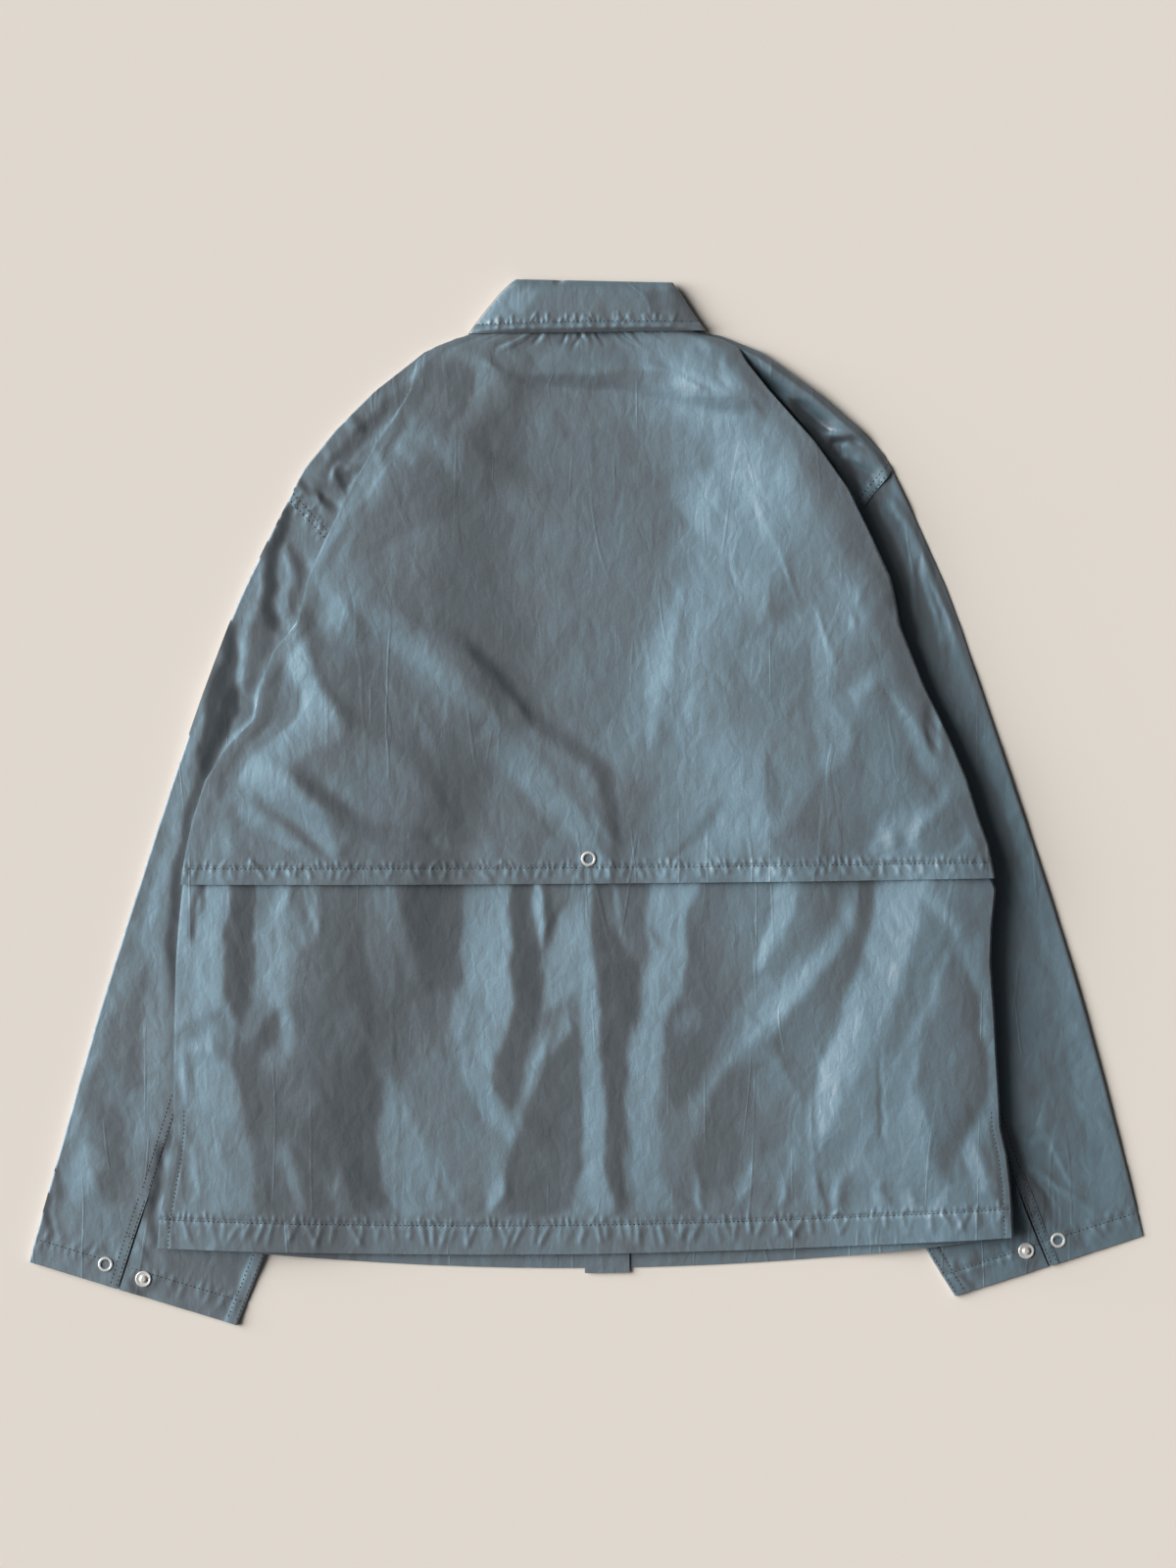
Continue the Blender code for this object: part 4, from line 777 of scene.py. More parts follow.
def side_line(node, upper, lower, pick, shares):
    """A node's side from an upper to a lower place: pick 0 is its least x, 1 its greatest."""
    y = upper[1] + (lower[1] - upper[1]) * shares
    held = np.clip(y, lower[1] + 1e-5, upper[1] - 1e-5)
    return np.stack([slices(node, 1, held)[:, pick], y], axis=1)


def panel_plan(node, u, v):
    """Plan places of a panel's grid between its four edges: row 0 on its upper edge, the last on its hem."""
    points = points_of(node)
    top = points[points[:, 1] > points[:, 1].max() - 1e-4]
    upper_left, upper_right = top[top[:, 0].argmin()][:2], top[top[:, 0].argmax()][:2]
    lower_left = points[(points[:, 0] + points[:, 1]).argmin()][:2]
    lower_right = points[(points[:, 0] - points[:, 1]).argmax()][:2]
    left = side_line(node, upper_left, lower_left, 0, v)
    right = side_line(node, upper_right, lower_right, 1, v)
    upper = left[0] + (right[0] - left[0]) * u[:, None]
    hem_x = lower_left[0] + (lower_right[0] - lower_left[0]) * u
    hem_y = slices(node, 0, np.clip(hem_x, lower_left[0] + 1e-5, lower_right[0] - 1e-5))[:, 0]
    hem = np.stack([hem_x, hem_y], axis=1)
    left[-1], right[-1] = hem[0], hem[-1]
    s, t = u[None, :, None], v[:, None, None]
    ruled = (1 - t) * upper[None] + t * hem[None] + (1 - s) * left[:, None] + s * right[:, None]
    straight = (1 - t) * ((1 - s) * upper[0] + s * upper[-1]) + t * ((1 - s) * hem[0] + s * hem[-1])
    plan = ruled - straight
    return plan[..., 0], plan[..., 1]


def rounded(points, times=2):
    """A line of places with its corners cut."""
    points = np.array(points, dtype=float)
    for _ in range(times):
        a, b = points[:-1], points[1:]
        cut = np.stack([0.75 * a + 0.25 * b, 0.25 * a + 0.75 * b], axis=1).reshape(-1, 2)
        points = np.concatenate([points[:1], cut, points[-1:]])
    return points


def wobble(x, y, size, seed):
    """A soft random swing from about -1 to 1, with swings of about this size."""
    pick = random.Random(seed)
    total = np.zeros(x.shape)
    for _ in range(6):
        turn, phase = pick.uniform(0, math.tau), pick.uniform(0, math.tau)
        pace = math.tau / (size * pick.uniform(0.7, 1.6))
        total += np.sin(pace * (x * math.cos(turn) + y * math.sin(turn)) + phase)
    return total / 3.5


def inside(outline, x, y):
    """Which places lie inside an outline."""
    within = np.zeros(x.shape, dtype=bool)
    for (ax, ay), (bx, by) in zip(outline, outline[1:] + outline[:1]):
        if ay != by:
            within ^= ((ay > y) != (by > y)) & (x < ax + (bx - ax) * (y - ay) / (by - ay))
    return within


def small_flanks(box, count, seed):
    """Slim flanks strewn over a plan box, most of them along the warp, as taffeta crackles."""
    pick = random.Random(seed)
    low, high = box
    made = []
    for _ in range(count):
        x, y = pick.uniform(low.x, high.x) / MM, pick.uniform(low.y, high.y) / MM
        turn, half, width = pick.gauss(math.pi / 2, 0.6), pick.uniform(4, 20), pick.uniform(1.5, 5.0)
        dx, dy = math.cos(turn), math.sin(turn)
        at = pick.uniform(-0.6, 0.6) * half
        ends = [(x - half * dx, y - half * dy), (x + half * dx, y + half * dy)]
        sides = [(x + at * dx - k * width * dy, y + at * dy + k * width * dx) for k in (1, -0.3)]
        made.append(Flank(pick.gauss(0, 0.027), [ends[0], sides[0], ends[1], sides[1]]))
    return made


def flank_heights(flanks, strewn, x, y, cell=1.4, margin=80.0, longest=500.0, most_lit=0.11):
    """Heights of cloth that tilts to the light as the flanks of its folds do, and the strewn ones on them.

    The tilts are laid out on square cells, and the form that follows them best is made up of waves.
    """
    x, y = x / MM, y / MM
    left, low = x.min() - margin, y.min() - margin
    lines_x, lines_y = np.arange(left, x.max() + margin, cell), np.arange(low, y.max() + margin, cell)
    plan_x, plan_y = np.meshgrid(lines_x, lines_y)
    astray_x = plan_x + 2.0 * wobble(plan_x, plan_y, 40, 6) + 0.9 * wobble(plan_x, plan_y, 13, 7)
    astray_y = plan_y + 2.0 * wobble(plan_x, plan_y, 40, 8) + 0.9 * wobble(plan_x, plan_y, 13, 9)
    tilt = np.zeros(plan_x.shape)
    for k, (light_lean, outline) in enumerate(flanks + strewn):
        (x0, y0), (x1, y1) = np.min(outline, axis=0), np.max(outline, axis=0)
        rows = slice(max(0, int((y0 - low) / cell) - 6), int((y1 - low) / cell) + 6)
        columns = slice(max(0, int((x0 - left) / cell) - 6), int((x1 - left) / cell) + 6)
        part = tilt[rows, columns]
        within = inside(outline, astray_x[rows, columns], astray_y[rows, columns])
        part[within] = light_lean + (part[within] if k >= len(flanks) else 0.0)
    tilt = np.where(tilt > 0, most_lit * np.tanh(tilt / most_lit), tilt)
    tilt = 0.85 * blur(tilt, 0.8) + 0.15 * blur(tilt, 4.0)
    wave_x, wave_y = (math.tau * np.fft.fftfreq(count, cell) for count in tilt.shape[::-1])
    wave_x, wave_y = np.meshgrid(wave_x, wave_y)
    towards = wave_x * LIGHT_WAY[0] + wave_y * LIGHT_WAY[1]
    stiff = 0.03 * (wave_x**2 + wave_y**2) + (math.tau / longest) ** 2
    form = np.fft.ifft2(np.fft.fft2(tilt) * 1j * towards / (towards**2 + stiff)).real
    column, row = (x - left) / cell, (y - low) / cell
    i, j = row.astype(int), column.astype(int)
    s, t = row - i, column - j
    upper = (1 - t) * form[i + 1, j] + t * form[i + 1, j + 1]
    lower = (1 - t) * form[i, j] + t * form[i, j + 1]
    return MM * (s * upper + (1 - s) * lower)


def crease_heights(creases, x, y, stray=0.0, crest=1.5, fade=22.0):
    """Height that the creases add at each place. Crests are rounded, and both ends of a crease fade out.

    With stray, in millimetres, the creases wander from their lines and rise unevenly.
    """
    x, y = x / MM, y / MM
    uneven = 1.0
    if stray:
        uneven = 1 + 0.35 * wobble(x, y, 70, 1)
        shift_x = wobble(x, y, 45, 2) + 0.45 * wobble(x, y, 16, 3)
        shift_y = wobble(x, y, 45, 4) + 0.45 * wobble(x, y, 16, 5)
        x, y = x + stray * shift_x, y + stray * shift_y
    total = np.zeros(x.shape)
    for lit, dark, height, points in creases:
        line = rounded(points) if len(points) > 2 else np.array(points, dtype=float)
        step = np.diff(line, axis=0)
        length = np.hypot(step[:, 0], step[:, 1])
        start = np.concatenate([[0], np.cumsum(length)])
        run = line[-1] - line[0]
        lit_hand = np.sign(np.dot((-run[1], run[0]), LIGHT_WAY)) or 1.0
        reach = max(lit, dark) + crest
        low, high = line.min(axis=0) - reach, line.max(axis=0) + reach
        near = (x > low[0]) & (x < high[0]) & (y > low[1]) & (y < high[1])
        if not near.any():
            continue
        qx, qy = x[near], y[near]
        best = np.full(qx.shape, np.inf)
        along = np.zeros(qx.shape)
        hand = np.ones(qx.shape)
        for i, (ex, ey) in enumerate(step):
            share = np.clip(((qx - line[i, 0]) * ex + (qy - line[i, 1]) * ey) / length[i] ** 2, 0, 1)
            dx, dy = qx - line[i, 0] - share * ex, qy - line[i, 1] - share * ey
            away = dx * dx + dy * dy
            closer = away < best
            best = np.where(closer, away, best)
            along = np.where(closer, start[i] + share * length[i], along)
            hand = np.where(closer, np.sign(ex * dy - ey * dx), hand)
        width = np.where(hand * lit_hand > 0, lit, dark)
        slope = np.clip(1 - (np.sqrt(best + crest * crest) - crest) / width, 0, 1) ** 1.5
        ends = min(fade, 0.35 * start[-1])
        taper = smooth(along / ends) * smooth((start[-1] - along) / ends)
        total[near] += height * MM * taper * slope
    return total * uneven


def crumple_creases(box, count, seed, spans, widths):
    """Creases strewn over a plan box, in the way taffeta crackles: ranges of their lengths and flanks."""
    pick = random.Random(seed)
    low, high = box
    made = []
    for _ in range(count):
        x, y = pick.uniform(low.x, high.x) / MM, pick.uniform(low.y, high.y) / MM
        turn, length = pick.uniform(0, math.pi), pick.uniform(*spans)
        bend = pick.uniform(-0.25, 0.25)
        dx, dy = math.cos(turn) * length / 2, math.sin(turn) * length / 2
        middle = (x - dy * bend, y + dx * bend)
        height = pick.choice((-1, 1)) * pick.uniform(0.3, 1.0)
        lit, dark = pick.uniform(*widths), pick.uniform(*widths)
        made.append(Crease(lit, dark, height, [(x - dx, y - dy), middle, (x + dx, y + dy)]))
    return made


def creased(node, x, y, flanks, creases, cloth):
    """Height that a node's folds and creases add: those listed, and crumple strewn over it."""
    low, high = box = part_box(node)
    area = (high.x - low.x) * (high.y - low.y)
    fine = small_flanks(box, round(FINE_COUNT * area), node)
    broad = crumple_creases(box, round(BROAD_COUNT * area), node + " broad", BROAD_SPANS, BROAD_WIDTHS)
    placed = LISTED_SHARE * crease_heights(creases, x, y, stray=STRAY) + flank_heights(flanks, fine, x, y)
    return cloth.depth * placed + BROAD_SHARE * cloth.crumple / MM * crease_heights(broad, x, y)


def across_creases(line, pitch, height, near, far, seed):
    """Short creases across a row of stitching, uneven in place, slant and reach on its two sides."""
    pick = random.Random(seed)
    step = np.diff(line, axis=0)
    start = np.concatenate([[0], np.cumsum(np.hypot(step[:, 0], step[:, 1]))])
    made, at = [], pick.uniform(0.2, 1.0) * pitch
    while at < start[-1]:
        x, y = np.interp(at, start, line[:, 0]), np.interp(at, start, line[:, 1])
        i = min(np.searchsorted(start, at, side="right"), len(step)) - 1
        tx, ty = step[i] / np.hypot(*step[i])
        slant = pick.gauss(0, 0.35)
        ax, ay = -ty + slant * tx, tx + slant * ty
        up, down = far * pick.uniform(0.35, 1.3), near * pick.uniform(0.6, 1.1)
        width = pick.uniform(0.30, 0.48) * pitch / MM
        ends = [((x + ax * r) / MM, (y + ay * r) / MM) for r in (up, -down)]
        made.append(Crease(width, width, height / MM * pick.uniform(0.45, 1.35), ends))
        at += pitch * pick.uniform(0.6, 1.5)
    return made


def puckers(line, hem, above, x, y, cloth, seed):
    """Height of the puckers along a hem's stitching: close crimps at the row, and wider ones down the hem."""
    crimps = across_creases(line, cloth.crimp_pitch, cloth.crimp, 0.45 * above, above, seed)
    wide = across_creases(line, cloth.pucker_pitch, cloth.pucker, hem, 0.6 * above, f"{seed} wide")
    return crease_heights(crimps + wide, x, y, crest=0.5)


def seam_crimps(line, side, x, y, cloth, seed):
    """Height of the crimps at a shoulder seam."""
    height = SEAM_CRIMP[side] * cloth.crimp
    crimps = across_creases(line, cloth.crimp_pitch, height, SEAM_REACH, SEAM_REACH, seed)
    return crease_heights(crimps, x, y, crest=0.5)


def trough(from_row, depth):
    """Depth of the trough that a stitched row pulls into the cloth."""
    return depth * np.exp(-((from_row / ROW_WIDTH) ** 2))


def lengths(x, y, axis):
    """Length along a grid's lines, from their first point."""
    step = np.hypot(np.diff(x, axis=axis), np.diff(y, axis=axis))
    start = np.zeros_like(np.take(x, [0], axis=axis))
    return np.concatenate([start, np.cumsum(step, axis=axis)], axis=axis)


def from_last(x, y):
    """Length along a grid's columns, from their last point."""
    down = lengths(x, y, 0)
    return down[-1] - down


def row_at(distance, away, x, y):
    """Plan places at a distance from the side where the lines of a grid begin."""
    lines = zip(away, x, y)
    return np.array([(np.interp(distance, d, px), np.interp(distance, d, py)) for d, px, py in lines])


def hem_row(x, y, from_hem, distance):
    """The row of stitching at a distance from a grid's hem, as plan places."""
    return row_at(distance, from_hem[::-1].T, x[::-1].T, y[::-1].T)


def steps_to(bands, multiple=3):
    """Shares of a length at which grid lines lie: each band runs on to a distance with its own step."""
    places = [0.0]
    for end, step in bands:
        count = multiple * max(1, round((end - places[-1]) / step / multiple))
        places += list(np.linspace(places[-1], end, count + 1)[1:])
    return np.array(places) / places[-1]


def panel_base(node, u, v, coarse=0.008, soften=2.6):
    """Plan of a panel's grid and the soft base height of its solid there."""
    low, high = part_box(node)
    cu = np.linspace(0, 1, max(6, round((high.x - low.x) / coarse)))
    cv = np.linspace(0, 1, max(6, round((high.y - low.y) / coarse)))
    x, y = panel_plan(node, cu, cv)
    # drawn in a little, so that the rays at the edges meet the solid
    within = 1 - 0.0008
    tree = tree_of([NODES[node]])
    z = heights_on(tree, x.mean() + (x - x.mean()) * within, y.mean() + (y - y.mean()) * within)
    z = blur(fill_gaps(z), soften)
    rows = np.array([np.interp(u, cu, row) for row in z])
    z = np.array([np.interp(v, cv, column) for column in rows.T]).T
    x, y = panel_plan(node, u, v)
    return x, y, blur(z, 3.0)


def add_piece(name, mesh, material, sharp=SHARP):
    """An object of a mesh, smooth but for the edges that turn by more than so many degrees."""
    mesh.shade_smooth()
    mesh.set_sharp_from_angle(angle=math.radians(sharp))
    mesh.materials.append(material)
    piece = bpy.data.objects.new(name, mesh)
    bpy.context.scene.collection.objects.link(piece)
    return piece


def grid_faces(index):
    return np.stack([index[:-1, :-1], index[1:, :-1], index[1:, 1:], index[:-1, 1:]], axis=-1).reshape(-1, 4)


def border(index):
    """The four borders of a grid of point numbers, in one round."""
    return [index[0, :], index[:, -1], index[-1, ::-1], index[::-1, 0]]


def panel_shell(name, grid, cloth, skip=3):
    """A closed thin shell: its outer face runs through the grid, its inner face is a coarser copy below."""
    rows, columns = grid.shape[:2]
    lowest = widest(grid[..., 2], skip, np.min)
    inner = grid[::skip, ::skip].copy()
    inner[..., 2] = lowest[::skip, ::skip] - cloth.wall
    index = np.arange(rows * columns).reshape(rows, columns)
    under = rows * columns + np.arange(inner.shape[0] * inner.shape[1]).reshape(inner.shape[:2])
    faces = grid_faces(index).tolist() + grid_faces(under)[:, ::-1].tolist()
    for outer_side, inner_side in zip(border(index), border(under)):
        outer_side, inner_side = outer_side.tolist(), inner_side.tolist()
        for k in range(len(inner_side) - 1):
            for j in range(k * skip, (k + 1) * skip):
                faces.append([outer_side[j], outer_side[j + 1], inner_side[k]])
            faces.append([outer_side[(k + 1) * skip], inner_side[k + 1], inner_side[k]])
    mesh = bpy.data.meshes.new(name)
    mesh.from_pydata(np.concatenate([grid.reshape(-1, 3), inner.reshape(-1, 3)]), [], faces)
    return add_piece(name, mesh, taffeta(), RIM_SHARP)


def walled(piece, cloth):
    """Gives a piece its thickness, inwards, with crisp rims."""
    wall = piece.modifiers.new("wall", "SOLIDIFY")
    wall.thickness = cloth.wall
    wall.offset = -1
    shown = piece.evaluated_get(bpy.context.evaluated_depsgraph_get())
    mesh = bpy.data.meshes.new_from_object(shown)
    piece.modifiers.remove(wall)
    piece.data = mesh
    mesh.set_sharp_from_angle(angle=math.radians(SHARP))
    return piece


def grid_shell(name, grid, cloth):
    """A closed thin shell whose outer face runs through a grid."""
    index = np.arange(grid.shape[0] * grid.shape[1]).reshape(grid.shape[:2])
    mesh = bpy.data.meshes.new(name)
    mesh.from_pydata(grid.reshape(-1, 3), [], grid_faces(index).tolist())
    return walled(add_piece(name, mesh, taffeta()), cloth)


def folded_shell(name, grid, cloth):
    """The same through a grid of sections that fold under, turned so that it faces out."""
    middle = grid.shape[0] // 2
    if np.cross(grid[middle + 1, 0] - grid[middle, 0], grid[middle, 1] - grid[middle, 0])[2] < 0:
        grid = grid[::-1]
    return grid_shell(name, grid, cloth)


def spread(reach, first, last, count, radius=FOLD_RADIUS):
    """Distances in from a fold's edge, in even steps from one share of a reach to another."""
    return radius + (reach - radius)[:, None] * np.linspace(first, last, count)


def plan_across(edge, inward, across):
    """Plan x and y at distances across from an edge."""
    return (edge[:, k:k + 1] + inward[:, k:k + 1] * across for k in (0, 1))


def folded_grid(edge, inward, across, top_z, under_across):
    """Sections that run on top to a fold, round it and back below. Distances are from the fold's edge."""
    round_across = np.tile(FOLD_RADIUS * (1 - np.sin(HALF_TURN)), (len(edge), 1))
    round_z = FOLD_LOW + (top_z[:, -1:] - FOLD_LOW) * (1 + np.cos(HALF_TURN)) / 2
    all_across = np.concatenate([across, round_across, under_across], axis=1)
    all_z = np.concatenate([top_z, round_z, np.full(under_across.shape, FOLD_LOW)], axis=1)
    plan = edge[:, None] + inward[:, None] * all_across[..., None]
    return np.concatenate([plan, all_z[..., None]], axis=2)


def fold_puff(across, near=0.006, far=0.014):
    """Share of a puff along a fold: it rises from the fold's edge and fades further in."""
    return smooth(across / near) * (1 - smooth((across - near) / far))


def uncovered(nodes, x, y, cells):
    """1 where no solid of these nodes lies over a place, 0 where one does, with a soft border."""
    covers = tree_of([NODES[node] for node in nodes])
    return 1 - blur((heights_on(covers, x, y, -1.0) > 0).astype(float), cells)


def declare_cloth(piece, node):
    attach(piece, "root")
    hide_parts(node)


def lay_panel(node, x, y, z, cloth, hem, skip=3):
    """A panel's cloth, what it rests on, and the stitched row along its hem."""
    name = node + "_cloth"
    declare_cloth(panel_shell(name, np.stack([x, y, z], axis=-1), cloth, skip), node)
    STITCH_ROWS[node] = (hem, [name])


class Shade:
    """A socket of a shader, with operators that add the nodes of an expression on it."""

    def __init__(self, tree, socket):
        self.tree = tree
        self.socket = socket

    def node(self, kind, settings=None, sockets=None, out=0):
        """Adds a node of a type, sets its settings and then its sockets, by name or number."""
        made = self.tree.nodes.new(kind)
        for key, value in (settings or {}).items():
            setattr(made, key, value)
        for key, value in (sockets or {}).items():
            if isinstance(value, Shade):
                self.tree.links.new(value.socket, made.inputs[key])
            else:
                made.inputs[key].default_value = value
        return Shade(self.tree, made.outputs[out])

    def maths(self, operation, first, second):
        return self.node("ShaderNodeMath", {"operation": operation}, {0: first, 1: second})

    def __add__(self, other):
        return self.maths("ADD", self, other)

    __radd__ = __add__

    def __sub__(self, other):
        return self.maths("SUBTRACT", self, other)

    def __rsub__(self, other):
        return self.maths("SUBTRACT", other, self)

    def __mul__(self, other):
        return self.maths("MULTIPLY", self, other)

    __rmul__ = __mul__

    def between(self, low, high):
        """0 below low, 1 above high."""
        return self.node(
            "ShaderNodeMapRange",
            {"interpolation_type": "SMOOTHSTEP"},
            {"Value": self, "From Min": low, "From Max": high},
        )

    def mix(self, first, second):
        """From one colour to another as this goes from 0 to 1."""
        return self.node("ShaderNodeMix", {"data_type": "RGBA"}, {0: self, 6: first, 7: second}, out=2)

    def noise(self, scale, detail):
        return self.node("ShaderNodeTexNoise", {}, {"Vector": self, "Scale": scale, "Detail": detail})

    def facets(self, scale):
        """Facets as of crumpled foil, highest in their middles."""
        return self.node(
            "ShaderNodeTexVoronoi", {"feature": "DISTANCE_TO_EDGE"}, {"Vector": self, "Scale": scale}
        )

    def drawn(self, squeeze, turn=0.0):
        """Places drawn out along y, or along a line turned from it."""
        settings = {"Vector": self, "Rotation": (0.0, 0.0, turn), "Scale": (1.0, squeeze, 1.0)}
        return self.node("ShaderNodeMapping", {}, settings)

    def streaks(self, scale, squeeze, turn):
        """Noise that is drawn out so."""
        return self.drawn(squeeze, turn).noise(scale, 4.0)

    def to(self, shader, name):
        self.tree.links.new(self.socket, shader.inputs[name])


def new_material(name):
    """A material, its shader, and its object coordinates as a wrapped socket."""
    material = bpy.data.materials.new(name)
    material.use_nodes = True
    tree = material.node_tree
    place = Shade(tree, tree.nodes.new("ShaderNodeTexCoord").outputs["Object"])
    return material, tree.nodes["Principled BSDF"], place


def taffeta():
    """Shot taffeta with painted light: bluer facing the light, pinkish as a painted highlight, warmer as
    painted shade; a close rib, a soft satin sheen and a fine crumple.
    """
    known = bpy.data.materials.get("shot_taffeta")
    if known:
        return known
    cloth = bpy.context.scene.jacket_cloth
    material, shader, place = new_material("shot_taffeta")
    # fine crackle in streaks that run mostly along the warp, a few wider facets, and the rib
    warp = place.node("ShaderNodeTexNoise", {}, {"Vector": place, "Scale": 40.0, "Detail": 3.0}, out=1)
    bent = place.node(
        "ShaderNodeVectorMath", {"operation": "MULTIPLY_ADD"}, {0: warp, 1: (0.012, 0.012, 0.012), 2: place}
    )
    relief = bent.streaks(330.0, 0.30, 0.10) * 0.11 + bent.streaks(170.0, 0.40, -0.55) * 0.12
    relief = relief + bent.streaks(80.0, 0.60, 0.60) * 0.18
    wide = bent.drawn(0.6)
    relief = relief + wide.facets(75.0) * 0.30 - wide.facets(33.0) * 0.55
    # thin straight creases, in places
    thin_creases = (26.0, 0.10, 7.0, 0.09), (21.0, -0.60, 9.0, 0.08), (23.0, 0.75, 11.0, 0.07)
    for scale, turn, shown, height in thin_creases:
        off = place.drawn(0.11, turn).noise(scale, 0.0) - 0.5
        thin = 1 - (off * off).between(0.0, 0.0002)
        relief = relief + thin * place.noise(shown, 2.0).between(0.52, 0.62) * height
    rib = place.node(
        "ShaderNodeTexWave", {"bands_direction": "Y"}, {"Vector": place, "Scale": 420.0, "Distortion": 1.5}
    )
    relief = relief + rib * 0.01
    turned = place.node("ShaderNodeBump", {}, {"Strength": 1.0, "Distance": 0.001, "Height": relief})
    turned.to(shader, "Normal")
    # the colour is painted light: bluer where the bumped surface faces the light, pinkish as a painted
    # highlight where it faces it most, and warmer as painted shade where it turns away. Noise adds random
    # tone, and a bluer tint runs towards the right, from x 0.16 to 0.36
    light_lean = place.node(
        "ShaderNodeVectorMath", {"operation": "DOT_PRODUCT"}, {0: turned, 1: (-0.98, 0.17, 0.0)}, out=1
    )
    cloud = place.noise(14.0, 4.0)
    grain = place.noise(420.0, 3.0)
    across = place.node("ShaderNodeSeparateXYZ", {}, {0: place})
    # this mix is mostly painted light, three times the tilt towards the light; the noise terms add random
    # tone
    shot = light_lean * 3.0 + cloud * 0.4 + grain * 0.2 + across.between(0.16, 0.36) * 0.22 + 0.05
    yarn_and_painted_light = shot.between(0.0, 0.9).mix((*cloth.warm_yarn_and_shade, 1), (*cloth.blue, 1))
    shot.between(0.95, 1.7).mix(yarn_and_painted_light, (*cloth.painted_rose_glint, 1)).to(shader, "Base Color")
    (grain * 0.12 + (cloth.roughness - 0.06)).to(shader, "Roughness")
    shader.inputs["Metallic"].default_value = 0.6
    shader.inputs["Sheen Weight"].default_value = 0.08
    shader.inputs["Sheen Roughness"].default_value = 0.4
    shader.inputs["Sheen Tint"].default_value = (0.80, 0.80, 0.84, 1)
    return material


def thread():
    """Twisted polyester thread, a little darker than the cloth."""
    known = bpy.data.materials.get("thread")
    if known:
        return known
    material, shader, place = new_material("thread")
    along = {"bands_direction": "DIAGONAL"}
    twist = place.node("ShaderNodeTexWave", along, {"Vector": place, "Scale": 900.0})
    twist.mix((0.030, 0.039, 0.046, 1), (0.080, 0.102, 0.120, 1)).to(shader, "Base Color")
    shader.inputs["Roughness"].default_value = 0.5
    return material


def nickel():
    """Bright nickel plate with faint handling wear."""
    known = bpy.data.materials.get("nickel")
    if known:
        return known
    steel = bpy.context.scene.jacket_snaps.steel
    material, shader, place = new_material("nickel")
    wear = place.noise(900.0, 4.0)
    wear.mix((*[0.82 * c for c in steel], 1), (*steel, 1)).to(shader, "Base Color")
    (wear * 0.16 + 0.26).to(shader, "Roughness")
    shader.inputs["Metallic"].default_value = 0.35
    return material


def paper():
    """The pale, matt floor."""
    floor = bpy.context.scene.jacket_stage.floor
    material, shader, place = new_material("paper")
    place.noise(600.0, 2.0).mix((*[0.985 * c for c in floor], 1), (*floor, 1)).to(shader, "Base Color")
    shader.inputs["Roughness"].default_value = 0.9
    shader.inputs["Specular IOR Level"].default_value = 0.2
    return material


def side_form(x, y, z):
    """Heights with a back's sides as they lie: flat to the left edge, puffed to a fold on the right."""
    from_left, from_right = x - x[:, :1], x[:, -1:] - x
    flat = np.array([np.interp(FLAT_REACH, row, heights) for row, heights in zip(from_left, z)])[:, None]
    z = z + (np.maximum(flat, z) - z) * (1 - smooth((from_left - 0.008) / 0.014))
    rise = SIDE_LOFT + SHOULDER_LOFT * smooth((y - SHOULDER_FROM) / 0.060)
    rise = rise * smooth((LOFT_BELOW - y) / 0.050)
    left = LEFT_DROP * (1 - smooth(from_left / 0.0020)) ** 2
    right = (rise + RIGHT_DROP) * (1 - smooth(from_right / 0.0024)) ** 2
    return z + rise * smooth((LOFT_REACH - from_right) / (LOFT_REACH - 0.010)) - left - right


def snap_places(*nodes):
    """Plan middles of the solids of some snaps."""
    boxes = [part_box(node) for node in nodes]
    return [((low.x + high.x) / 2, (low.y + high.y) / 2) for low, high in boxes]


def level_round(x, y, z, places, reach=0.0085):
    """Flattens the cloth round its snaps to its own middle height there."""
    for place_x, place_y in places:
        away = np.hypot(x - place_x, y - place_y)
        if (away < reach).any():
            level = np.exp(-((away / reach) ** 6))
            z = z + (z[away < reach].mean() - z) * level
    return z


def lift_over(nodes, x, y, z, cloth, cells=12):
    """How far a panel rises, softly, to lie on the cloth of some nodes below it."""
    below = heights_on(tree_of([bpy.data.objects[node + "_cloth"] for node in nodes]), x, y, -1.0)
    lift = np.maximum(below + 2 * cloth.wall + 0.0006 - z, 0.0)
    return blur(widest(lift, cells, np.max), 0.6 * cells)


def level_edge(z, across, reach=0.014):
    """Heights that run on level to a fold's edge. Distances from the edge fall along each row."""
    held = np.array([np.interp(reach, a[::-1], h[::-1]) for a, h in zip(across, z)])[:, None]
    return held + (z - held) * smooth((across - 0.6 * reach) / (0.8 * reach))


class JACKET_OT_fronts(bpy.types.Operator):
    """Makes the two fronts and the plackets that close between them"""

    bl_idname = "jacket.fronts"
    bl_label = "Fronts"

    def execute(self, context):
        cloth, sewing = context.scene.jacket_cloth, context.scene.jacket_sewing
        for node in FRONT_NODES:
            low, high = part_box(node)
            length = high.y - low.y
            u = steps_to([(high.x - low.x, 2.3 * cloth.cell)])
            v = steps_to([(length - 0.05, 3.4 * cloth.cell), (length, 1.5 * cloth.cell)])
            x, y, z = panel_base(node, u, v, soften=1.0)
            z = np.maximum(z, 3 * cloth.wall) + crease_heights(FRONT_CREASES, x, y, stray=STRAY)
            hem = hem_row(x, y, from_last(x, y), sewing.sleeve_hem)
            lay_panel(node, x, y, z, cloth, hem, 1)
        return {"FINISHED"}


